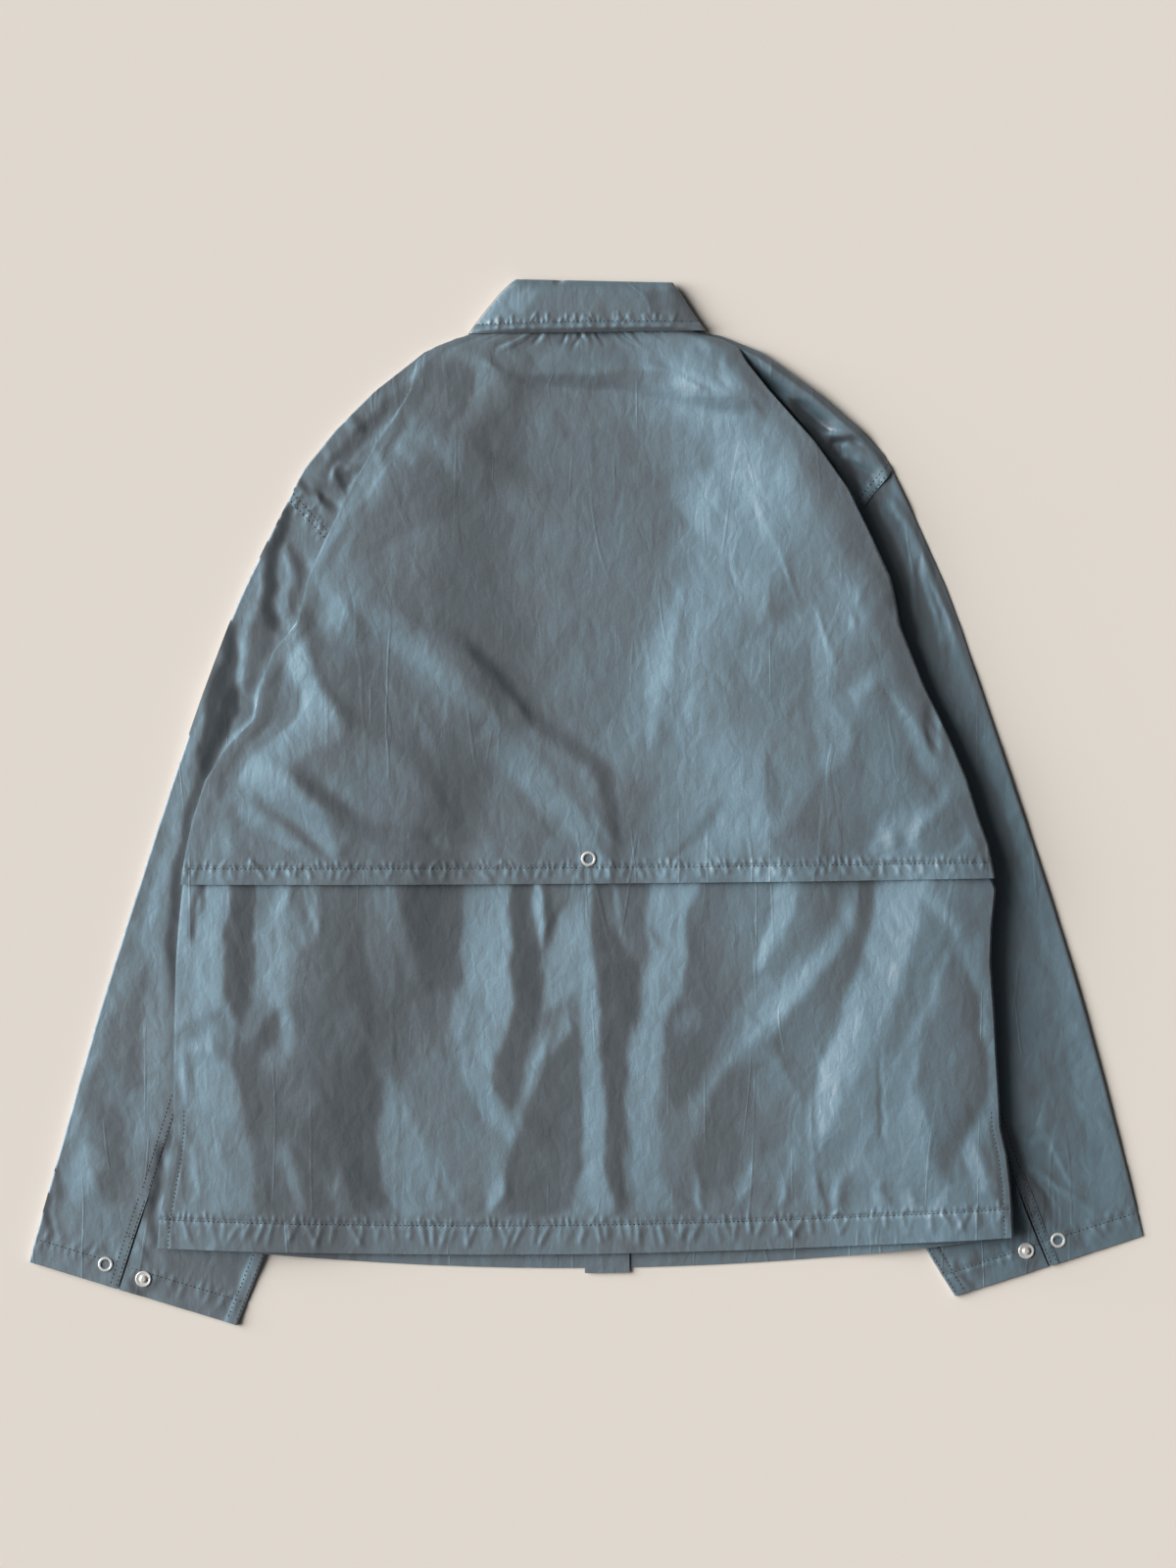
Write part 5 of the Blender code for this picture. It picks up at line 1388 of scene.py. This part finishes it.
def sleeve_lines(side, shares):
    """Outer and inner fold of a sleeve, from armhole to cuff."""
    left = side == "left"
    top, under = points_of(side + "_top_sleeve"), points_of(side + "_under_sleeve")
    reach = -top[:, 0] if left else top[:, 0]
    inward = under[:, 0] if left else -under[:, 0]
    shoulder, cuff = top[top[:, 1].argmax()], top[reach.argmax()]
    armpit, inner_cuff = under[inward.argmax()], under[under[:, 1].argmin()]
    outer = side_line(side + "_top_sleeve", shoulder, cuff, 0 if left else 1, shares)
    inner = side_line(side + "_under_sleeve", armpit, inner_cuff, 1 if left else 0, shares)
    return outer, inner


class JACKET_OT_sleeves(bpy.types.Operator):
    """Makes both sleeves, with their seams, slits, bindings and turned hems"""

    bl_idname = "jacket.sleeves"
    bl_label = "Sleeves"

    stations = 281
    column = 0.0018
    under_columns = 18
    slit_from = 0.87
    slit_gap = 0.0005
    seam_gap = 0.0002
    binding_width = 0.008
    binding_lift = 0.0002
    binding_rows = (0.0014, 0.0066)
    tacks = (0.40, 0.42)
    fell_rows = (0.002, 0.009)
    fell_from = 0.73
    fell_lift = 0.0005
    pucker_reach = 0.014
    puff = 0.002
    puff_share = 0.40
    lower = {"left": 0.75, "right": 0.45}
    seam_dip = {"left": 0.3, "right": 0.7}
    dip_share = 0.08

    def execute(self, context):
        for side in SIDES:
            shares = np.linspace(0, 1, self.stations)
            outer, inner = sleeve_lines(side, shares)
            run = inner - outer
            width = np.hypot(run[:, 0], run[:, 1])
            inward = run / width[:, None]
            slit = self.slit_gap * smooth((shares - self.slit_from) / 0.05)
            seam = SEAM_SHARE[side] * width
            below = UNDER_SHARE * width
            top, grid = self.half(context, side, "top", outer, inward, seam - slit, below)
            self.half(context, side, "under", inner, -inward, width - seam - slit, width - below)
            self.bind(context, side, grid[shares > self.slit_from], top)
        return {"FINISHED"}

    def half(self, context, side, which, edge, inward, reach, under_reach):
        """One of a sleeve's two pieces, from the seam on top round its fold to the seam below."""
        cloth, sewing = context.scene.jacket_cloth, context.scene.jacket_sewing
        node = f"{side}_{which}_sleeve"
        name = node + "_cloth"
        shares = np.linspace(0, 1, len(edge))
        across = spread(reach - self.seam_gap, 1, 0, max(12, round(reach.mean() / self.column)))
        x, y = plan_across(edge, inward, across)
        z = heights_on(tree_of([NODES[side + "_top_sleeve"], NODES[side + "_under_sleeve"]]), x, y)
        z[z < FOLD_LEAST] = np.nan
        z = level_edge(blur(fill_gaps(z), 4.0), across)
        dip = self.seam_dip[side] * (1 - smooth(shares / self.dip_share))[:, None]
        z = FOLD_BASE + (z - FOLD_BASE) * self.lower[side] * (1 - dip)
        bare = uncovered(["upper_back", "lower_back"], x, y, 3.0)
        z = z + bare * creased(node, x, y, *SLEEVE_FOLDS[side], cloth)
        z = z + seam_crimps(np.stack([x[0], y[0]], axis=-1), side, x, y, cloth, node + " arm")
        from_hem = from_last(x, y)
        hem = hem_row(x, y, from_hem, sewing.sleeve_hem)
        z = z + puckers(hem, self.pucker_reach, CRIMP_REACH, x, y, cloth, node)
        z = z - trough(from_hem - sewing.sleeve_hem, SLEEVE_TROUGH)
        if which == "under":
            ends = shares > self.slit_from
            z = z + self.fell_lift * ends[:, None] * smooth((self.fell_rows[1] + 0.001 - across) / 0.002)
            for row, from_fold in enumerate(self.fell_rows):
                STITCH_ROWS[f"{node}_{row}"] = (edge[ends] + inward[ends] * from_fold, [name])
        else:
            above = (shares > self.fell_from) & (shares < self.slit_from)
            for row, from_seam in enumerate(self.binding_rows):
                places = edge[above] + inward[above] * (reach[above] - from_seam)[:, None]
                STITCH_ROWS[f"{node}_{row}"] = (places, [name])
        if node == "right_top_sleeve":
            lifted = self.puff * (smooth(shares / 0.10) - smooth(shares / self.puff_share))[:, None]
            z = z + bare * lifted * fold_puff(across)
        z = np.maximum(z, FOLD_LOW + 3 * cloth.wall)
        z = level_round(x, y, z, snap_places(side + "_cuff_ring_snap", side + "_cuff_stud"))
        under = spread(under_reach - self.seam_gap, 0, 1, self.under_columns)
        grid = folded_grid(edge, inward, across, z, under)
        declare_cloth(folded_shell(name, grid, cloth), node)
        STITCH_ROWS[node] = (hem, [name])
        return name, grid

    def bind(self, context, side, grid, top):
        """The binding on a slit's outer edge, on the top sleeve."""
        cloth = context.scene.jacket_cloth
        step = np.hypot(*(grid[0, 1] - grid[0, 0])[:2])
        band = grid[:, : round(self.binding_width / step) + 1].copy()
        band[..., 2] += cloth.wall + self.binding_lift
        name = side + "_slit_binding_cloth"
        for row, across in enumerate(self.binding_rows):
            STITCH_ROWS[f"{side}_binding_{row}"] = (band[:, round(across / step), :2].copy(), [name])
        for row, at in enumerate(self.tacks):
            STITCH_ROWS[f"{side}_tack_{row}"] = (band[round(at * len(band)), :, :2].copy(), [name])
        if side == "left":
            band = band[:, ::-1]
        declare_cloth(panel_shell(name, band, cloth, 1), side + "_slit_binding")


class JACKET_OT_yokes(bpy.types.Operator):
    """Makes the shoulder yokes beyond the back's side folds"""

    bl_idname = "jacket.yokes"
    bl_label = "Yokes"

    stations = 141
    columns = 50
    under_columns = 14
    neck_way = (0.65, -0.76)
    neck_reach = 0.016
    arm_reach = 0.070
    under_share = 1.4
    seam_lap = 0.003
    seam_rows = (0.0015, 0.0075)
    crimps_from = 0.004
    stitches_from = 0.0015
    row_places = 40
    puff = {"left": 0.0, "right": 0.0020}
    dip = 0.0020
    dip_from = 0.010
    dip_to = 0.70
    lower = {"left": 0.90, "right": 0.60}
    rim = {"left": 0.0, "right": 0.003}
    rim_width = 0.030

    def execute(self, context):
        for side in SIDES:
            self.yoke(context.scene.jacket_cloth, side)
        return {"FINISHED"}

    def yoke(self, cloth, side):
        """One yoke, from the neck to the seam at the sleeve, folded under at its outer edge."""
        node = side + "_yoke"
        left = side == "left"
        points = points_of(node)
        shares = np.linspace(0, 1, self.stations)
        arm = points[(-points[:, 0] if left else points[:, 0]).argmax()]
        edge = side_line(node, points[points[:, 1].argmax()], arm, 0 if left else 1, shares)
        outer, inner = sleeve_lines(side, np.array([0.0, 1.0]))
        arm_way = (inner[0] - outer[0]) / np.hypot(*(inner[0] - outer[0]))
        neck_way = np.array(self.neck_way) * (1 if left else -1, 1)
        inward = neck_way + (arm_way - neck_way) * smooth(shares)[:, None]
        inward /= np.hypot(inward[:, 0], inward[:, 1])[:, None]
        depth = self.neck_reach + (self.arm_reach - self.neck_reach) * smooth(shares)
        # the last row laps over the sleeve, as a felled seam
        sleeve_way = (outer[1] - outer[0]) / np.hypot(*(outer[1] - outer[0]))
        edge = np.concatenate([edge, edge[-1:] + sleeve_way * self.seam_lap])
        inward, depth = np.concatenate([inward, inward[-1:]]), np.concatenate([depth, depth[-1:]])
        across = spread(depth, 1, 0, self.columns)
        x, y = plan_across(edge, inward, across)
        z = heights_on(tree_of([NODES[node]]), x[:-1], y[:-1])
        z[z < FOLD_LEAST] = np.nan
        z = blur(fill_gaps(z), 3.0)
        z = level_edge(np.concatenate([z, z[-1:]]), across)
        z = FOLD_BASE + (z - FOLD_BASE) * self.lower[side]
        bare = uncovered(["upper_back"], x, y, 2.0)
        z = z + bare * creased(node, x, y, *YOKE_FOLDS[side], cloth)
        ends = smooth(shares / 0.25) * smooth((1 - shares) / 0.25)
        z = z + self.rim[side] * np.append(ends, 0.0)[:, None] * smooth(1 - across / self.rim_width)
        z = z + bare * self.puff[side] * fold_puff(across)
        run = np.linspace(0, 1, len(edge))[:, None]
        hollow = smooth((across - self.dip_from) / 0.015) * (1 - smooth((run - self.dip_to) / 0.20))
        z = z - self.dip * hollow
        sleeve = tree_of([bpy.data.objects[f"{side}_{half}_sleeve_cloth"] for half in ("top", "under")])
        lift = np.maximum(heights_on(sleeve, x, y, 0.0) + cloth.wall + FOLD_LOW - z, 0.0)
        z = z + blur(widest(lift, 6, np.max), 4.0)
        z = np.maximum(z, FOLD_LOW + 3 * cloth.wall)
        for row, back in enumerate(self.seam_rows):
            starts = self.crimps_from, self.stitches_from
            runs = [np.linspace(start, self.arm_reach, self.row_places)[:, None] for start in starts]
            crimped, sewn = (edge[-1] + arm_way * run - sleeve_way * back for run in runs)
            z = z + seam_crimps(crimped, side, x, y, cloth, f"{node} {row}")
            STITCH_ROWS[f"{node}_{row}"] = (sewn, [node + "_cloth"])
        under = spread(depth * self.under_share, 0, 1, self.under_columns)
        grid = folded_grid(edge, inward, across, z, under)
        declare_cloth(folded_shell(node + "_cloth", grid, cloth), node)


def back_form(node, ends, cells, hem_width, pucker_reach, folds, cloth, seed):
    """Plan and heights of a back with its folds and turned hem, that hem's row, and lengths from the hem.

    Its rows lie closer in the lengths at its two ends. Cells are their steps above, between and below.
    """
    low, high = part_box(node)
    length = high.y - low.y
    stops = ends[0], length - ends[1], length
    u = steps_to([(high.x - low.x, 0.64 * cloth.cell)])
    v = steps_to([(stop, count * cloth.cell) for stop, count in zip(stops, cells)])
    x, y, z = panel_base(node, u, v)
    z = side_form(x, y, z)
    from_hem = from_last(x, y)
    hem = hem_row(x, y, from_hem, hem_width)
    z = z + creased(node, x, y, *folds, cloth)
    z = z + puckers(hem, pucker_reach, CRIMP_REACH, x, y, cloth, seed)
    z = z + HEM_STEP * smooth((hem_width - from_hem) / HEM_RAMP + 0.5)
    z = z - trough(from_hem - hem_width, HEM_TROUGH)
    return x, y, z, hem, from_hem


class JACKET_OT_lower_back(bpy.types.Operator):
    """Makes the lower back, which shows under the flap"""

    bl_idname = "jacket.lower_back"
    bl_label = "Lower back"

    ends = (0.050, 0.050)
    cells = (3, 2, 0.9)
    pucker_reach = 0.020

    def execute(self, context):
        cloth, sewing = context.scene.jacket_cloth, context.scene.jacket_sewing
        folds = LOWER_BACK_FLANKS, LOWER_BACK_CREASES
        x, y, z, hem, _ = back_form(
            "lower_back", self.ends, self.cells, sewing.back_hem, self.pucker_reach, folds, cloth, "back"
        )
        for side, way in zip(SIDES, (1, -1)):
            side_x, side_y = x[:, ::way], y[:, ::way]
            from_side = lengths(side_x, side_y, 1)
            row = row_at(sewing.vent_edge, from_side, side_x, side_y)
            STITCH_ROWS[side + "_vent"] = (row[row[:, 1] < sewing.vent_from], ["lower_back_cloth"])
            from_row = from_side[:, ::way] - sewing.vent_edge
            z = z - trough(from_row, VENT_TROUGH) * smooth((sewing.vent_from - y) / 0.01)
        z = z + lift_over(FRONT_NODES + SLEEVE_NODES, x, y, z, cloth)
        lay_panel("lower_back", x, y, z, cloth, hem)
        return {"FINISHED"}


class JACKET_OT_upper_back(bpy.types.Operator):
    """Makes the upper back, which hangs over the lower back as a flap"""

    bl_idname = "jacket.upper_back"
    bl_label = "Upper back"

    ends = (0.060, 0.035)
    cells = (1, 2.1, 0.8)
    pucker_reach = 0.011
    edge_lift = 0.0010
    gather_depth = 0.75

    def execute(self, context):
        cloth, sewing = context.scene.jacket_cloth, context.scene.jacket_sewing
        folds = UPPER_BACK_FLANKS, UPPER_BACK_CREASES
        x, y, z, hem, from_hem = back_form(
            "upper_back", self.ends, self.cells, sewing.flap_hem, self.pucker_reach, folds, cloth, "flap"
        )
        z = z + self.gather_depth * crease_heights(NECK_GATHERS, x, y, crest=0.7)
        z = z + self.edge_lift * smooth(1 - from_hem / sewing.flap_hem)
        z = z + lift_over(["lower_back", "left_yoke", "right_yoke"] + SLEEVE_NODES, x, y, z, cloth)
        z = level_round(x, y, z, snap_places("flap_ring_snap"))
        lay_panel("upper_back", x, y, z, cloth, hem)
        return {"FINISHED"}


class JACKET_OT_collar(bpy.types.Operator):
    """Makes the turned-down collar leaf and the stand inside it"""

    bl_idname = "jacket.collar"
    bl_label = "Collar"

    stations = 46
    columns = 150
    under_columns = 16
    radius = 0.0020
    under_share = 0.42
    pucker_reach = 0.008
    puckers_to = 0.088
    ends_from = 0.040
    end_lift = 0.001
    edge_lift = 0.0030
    notch = 0.0022
    notch_at = -0.021
    notch_width = 0.003

    def execute(self, context):
        self.leaf(context)
        self.stand(context)
        return {"FINISHED"}

    def leaf(self, context):
        cloth, sewing = context.scene.jacket_cloth, context.scene.jacket_sewing
        points = points_of("collar_leaf")
        leaning = 0.5 * points[:, 0]
        shares = np.linspace(0, 1, self.stations)
        upper_left, upper_right = (points[(points[:, 1] + k * leaning).argmax()] for k in (-1, 1))
        left = side_line("collar_leaf", upper_left, points[points[:, 0].argmin()], 0, shares)
        right = side_line("collar_leaf", upper_right, points[points[:, 0].argmax()], 1, shares)
        run = right - left
        width = np.hypot(run[:, 0], run[:, 1])
        way = run / width[:, None]
        tree = tree_of([NODES["collar_leaf"]])
        across = self.radius + (width - 2 * self.radius)[:, None] * np.linspace(0, 1, self.columns)
        x, y = plan_across(left, way, across)
        held = np.clip(y, points[:, 1].min() + 0.0004, points[:, 1].max() - 0.0004)
        z = blur(fill_gaps(heights_on(tree, x, held)), 2.0)
        down = lengths(x, y, 0)
        from_hem = down[-1] - down
        hem = hem_row(x, y, from_hem, sewing.collar_edge)
        puckered = puckers(hem, self.pucker_reach, self.pucker_reach, x, y, cloth, "collar")
        z = z + puckered * smooth((self.puckers_to - np.abs(x)) / 0.020)
        z = z - trough(from_hem - sewing.collar_edge, COLLAR_TROUGH)
        z = z + creased("collar_leaf", x, y, [], [], cloth)
        z = z + self.end_lift * smooth((np.abs(x) - self.ends_from) / 0.060)
        notched = np.exp(-(((x - self.notch_at) / self.notch_width) ** 2))
        z = z - self.notch * notched * smooth(1 - down / 0.006)
        z = z + self.edge_lift * smooth(1 - from_hem / 0.012)
        under = spread(self.under_share * width, 1, 0, self.under_columns, self.radius)
        round_across = self.radius * (1 - np.sin(HALF_TURN))
        ends = []
        for first, toward, edge_z in ((left, way, z[:, :1]), (right, -way, z[:, -1:])):
            plan = first[:, None] + toward[:, None] * under[..., None]
            low = heights_on(tree, plan[..., 0], np.clip(plan[..., 1], held.min(), held.max()), way=1)
            low = np.minimum(blur(fill_gaps(low), 2.0), edge_z - 2 * cloth.wall)
            round_z = low[:, -1:] + (edge_z - low[:, -1:]) * (1 - np.cos(HALF_TURN)) / 2
            round_plan = first[:, None] + toward[:, None] * round_across[None, :, None]
            ends.append((np.concatenate([plan, round_plan], axis=1), np.concatenate([low, round_z], axis=1)))
        (left_plan, left_z), (right_plan, right_z) = ends
        plan = np.concatenate([left_plan, np.stack([x, y], axis=-1), right_plan[:, ::-1]], axis=1)
        heights = np.concatenate([left_z, z, right_z[:, ::-1]], axis=1)
        grid = np.concatenate([plan, heights[..., None]], axis=2)
        declare_cloth(grid_shell("collar_leaf_cloth", grid, cloth), "collar_leaf")
        STITCH_ROWS["collar_leaf"] = (hem, ["collar_leaf_cloth"])

    def stand(self, context):
        mesh = NODES["collar_stand"].data.copy()
        mesh.name = "collar_stand_cloth"
        mesh.materials.clear()
        piece = add_piece("collar_stand_cloth", mesh, taffeta())
        declare_cloth(piece, "collar_stand")


def lathe(name, seat, profile, steps, material):
    """A turned piece: rings of a radius and a height, round a seat. The profile runs round once."""
    turns = np.linspace(0, 2 * math.pi, steps, endpoint=False)
    rings = np.array([[(r * math.cos(t), r * math.sin(t), h) for t in turns] for r, h in profile])
    rings += np.array(seat)
    index = np.arange(len(profile) * steps).reshape(len(profile), steps)
    closed = np.concatenate([index, index[:1]], axis=0)
    closed = np.concatenate([closed, closed[:, :1]], axis=1)
    mesh = bpy.data.meshes.new(name)
    mesh.from_pydata(rings.reshape(-1, 3), [], grid_faces(closed).tolist())
    return add_piece(name, mesh, material)


class JACKET_OT_snaps(bpy.types.Operator):
    """Makes the snaps in the flap's hem and at the cuffs"""

    bl_idname = "jacket.snaps"
    bl_label = "Snaps"

    eye_share = 0.64
    stud_share = 0.40
    axis = 0.0002

    def execute(self, context):
        steps = context.scene.jacket_snaps.steps
        for node in SNAP_NODES:
            low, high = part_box(node)
            outer = (high.x - low.x) / 2
            height = high.z - low.z
            ((x, y),) = snap_places(node)
            seat = (x, y, self.cloth_height(node, x, y, 0.8 * outer))
            profile = self.stud(outer, height) if "stud" in node else self.ring(outer, height)
            piece = lathe(node + "_metal", seat, profile, steps, nickel())
            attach(piece, "root")
            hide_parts(node)
        return {"FINISHED"}

    def cloth_height(self, node, x, y, radius):
        """Mean height of the cloth under a snap's rim."""
        side = node.split("_")[0]
        names = ["upper_back"] if side == "flap" else [side + "_top_sleeve", side + "_under_sleeve"]
        tree = tree_of([bpy.data.objects[name + "_cloth"] for name in names])
        turns = np.linspace(0, math.tau, 8, endpoint=False)
        return np.nanmean(heights_on(tree, x + radius * np.cos(turns), y + radius * np.sin(turns)))

    def ring(self, outer, height):
        """Section of a prong ring: a flat rim with rounded corners round an open eye."""
        eye = outer * self.eye_share
        rim = [(1.0, 0.0), (1.0, 0.45), (0.96, 0.72), (0.90, 0.80)]
        hole = [(1.12, 0.80), (1.03, 0.70), (1.0, 0.45), (1.0, 0.0)]
        return [(outer * r, height * h) for r, h in rim] + [(eye * r, height * h) for r, h in hole]

    def stud(self, outer, height):
        """Section of a stud: a dished plate with a round knob in the middle."""
        knob = outer * self.stud_share
        plate = [(0.9, 0.0), (1.0, 0.14), (0.98, 0.34), (0.90, 0.42), (0.78, 0.36), (0.62, 0.20)]
        top = [(1.15, 0.20), (1.0, 0.35), (1.06, 0.70), (0.94, 0.90), (0.70, 1.0), (0.35, 1.0)]
        section = [(self.axis, 0.0)] + [(outer * r, height * h) for r, h in plate]
        section += [(knob * r, height * h) for r, h in top] + [(self.axis, height * 0.97)]
        return section[::-1]


class JACKET_OT_sewing(bpy.types.Operator):
    """Makes the stitches of all rows of sewing as one mesh"""

    bl_idname = "jacket.sewing"
    bl_label = "Sewing"

    # a stitch's rings: share of its length, share of its thickness, and how deep it dips into the cloth
    rings = ((0.0, 0.35, 0.9), (0.18, 1.0, 0.1), (0.5, 1.05, -0.2), (0.82, 1.0, 0.1), (1.0, 0.35, 0.9))
    sides = 6

    def execute(self, context):
        sewing = context.scene.jacket_sewing
        points, faces = [], []
        for line, names in STITCH_ROWS.values():
            tree = tree_of([bpy.data.objects[name] for name in names])
            self.sew(line, tree, sewing, points, faces)
        mesh = bpy.data.meshes.new("stitches")
        mesh.from_pydata(points, [], faces)
        piece = add_piece("stitches", mesh, thread())
        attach(piece, "root")
        return {"FINISHED"}

    def sew(self, line, tree, sewing, points, faces):
        step = np.diff(line, axis=0)
        start = np.concatenate([[0], np.cumsum(np.hypot(step[:, 0], step[:, 1]))])
        pitch = sewing.stitch + sewing.stitch_gap
        for k in range(int(start[-1] / pitch)):
            at = k * pitch + np.array([0, sewing.stitch])
            x, y = np.interp(at, start, line[:, 0]), np.interp(at, start, line[:, 1])
            way = np.array([y[0] - y[1], x[1] - x[0]]) / max(np.hypot(x[1] - x[0], y[1] - y[0]), 1e-6)
            sway = np.array([-1, 1]) * (1 if k % 2 else -1) * sewing.sway
            x, y = x + way[0] * sway, y + way[1] * sway
            z = heights_on(tree, x, y)
            if np.isnan(z).any() or abs(z[1] - z[0]) > sewing.stitch:
                continue
            a, b = Vector((x[0], y[0], z[0])), Vector((x[1], y[1], z[1]))
            along = (b - a).normalized()
            side = along.cross(Vector((0, 0, 1))).normalized()
            up = side.cross(along)
            first = len(points)
            for at, thick, dip in self.rings:
                middle = a.lerp(b, at) - up * dip * sewing.thread
                for s in range(self.sides):
                    turn = 2 * math.pi * s / self.sides
                    way = side * math.cos(turn) + up * math.sin(turn)
                    points.append(middle + way * thick * sewing.thread)
            for r in range(len(self.rings) - 1):
                for s in range(self.sides):
                    i, j = first + r * self.sides + s, first + r * self.sides + (s + 1) % self.sides
                    faces.append((i, i + self.sides, j + self.sides, j))
            faces.append([first + s for s in range(self.sides)])
            last = first + (len(self.rings) - 1) * self.sides
            faces.append([last + s for s in reversed(range(self.sides))])


def floor_plane(size=4.0):
    """A wide floor."""
    mesh = bpy.data.meshes.new("floor")
    corners = [(-size, -size, 0), (size, -size, 0), (size, size, 0), (-size, size, 0)]
    mesh.from_pydata(corners, [], [(0, 1, 2, 3)])
    mesh.materials.append(paper())
    floor = bpy.data.objects.new("floor", mesh)
    bpy.context.scene.collection.objects.link(floor)
    return floor


def add_sun(name, strength, spread, height, heading):
    """A sun that stands at a height above the floor, seen in a heading counted from +X, all in degrees."""
    sun = bpy.data.objects.new(name, bpy.data.lights.new(name, "SUN"))
    sun.data.energy = strength
    sun.data.angle = math.radians(spread)
    rise, turn = math.radians(height), math.radians(heading)
    toward = Vector((math.cos(rise) * math.cos(turn), math.cos(rise) * math.sin(turn), math.sin(rise)))
    sun.rotation_euler = toward.to_track_quat("Z", "Y").to_euler()
    bpy.context.scene.collection.objects.link(sun)


class JACKET_OT_stage(bpy.types.Operator):
    """Makes the floor, the light and the camera"""

    bl_idname = "jacket.stage"
    bl_label = "Stage"

    sensor = 36.0
    sky = (0.95, 0.97, 1.0, 1)

    def execute(self, context):
        stage = context.scene.jacket_stage
        floor_plane()
        camera = bpy.data.objects.new("camera", bpy.data.cameras.new("camera"))
        camera.data.lens = stage.lens
        camera.data.sensor_fit = "VERTICAL"
        camera.data.sensor_height = self.sensor
        camera.data.clip_end = 50
        camera.location = (stage.view_x, stage.view_y, stage.lens / self.sensor * stage.view_height)
        context.scene.collection.objects.link(camera)
        context.scene.camera = camera
        add_sun("key", stage.key, spread=50, height=28, heading=165)
        add_sun("soft", stage.soft, spread=40, height=46, heading=195)
        world = bpy.data.worlds.new("world")
        world.use_nodes = True
        background = world.node_tree.nodes["Background"]
        background.inputs["Color"].default_value = self.sky
        background.inputs["Strength"].default_value = stage.fill
        context.scene.world = world
        context.scene.view_settings.view_transform = "Standard"
        return {"FINISHED"}


class JACKET_PT_panel(bpy.types.Panel):
    bl_label = "Shirt jacket"
    bl_idname = "JACKET_PT_panel"
    bl_space_type = "VIEW_3D"
    bl_region_type = "UI"
    bl_category = "Jacket"

    def draw(self, context):
        for operator in OPERATORS:
            self.layout.operator(operator.bl_idname)
        for name in GROUPS:
            box = self.layout.box()
            group = getattr(context.scene, name)
            for prop in group.bl_rna.properties:
                if prop.identifier not in {"rna_type", "name"}:
                    box.prop(group, prop.identifier)


OPERATORS = [
    JACKET_OT_stage,
    JACKET_OT_fronts,
    JACKET_OT_sleeves,
    JACKET_OT_yokes,
    JACKET_OT_lower_back,
    JACKET_OT_upper_back,
    JACKET_OT_collar,
    JACKET_OT_snaps,
    JACKET_OT_sewing,
]
GROUPS = {
    "jacket_cloth": JacketCloth,
    "jacket_sewing": JacketSewing,
    "jacket_snaps": JacketSnaps,
    "jacket_stage": JacketStage,
}


def register():
    for made in [*GROUPS.values(), *OPERATORS, JACKET_PT_panel]:
        bpy.utils.register_class(made)
    for name, group in GROUPS.items():
        setattr(bpy.types.Scene, name, PointerProperty(type=group))


def unregister():
    for name in GROUPS:
        delattr(bpy.types.Scene, name)
    for made in reversed([*GROUPS.values(), *OPERATORS, JACKET_PT_panel]):
        bpy.utils.unregister_class(made)


def main():
    register()
    for operator in OPERATORS:
        group, name = operator.bl_idname.split(".")
        getattr(getattr(bpy.ops, group), name)()


if __name__ == "__main__":
    main()
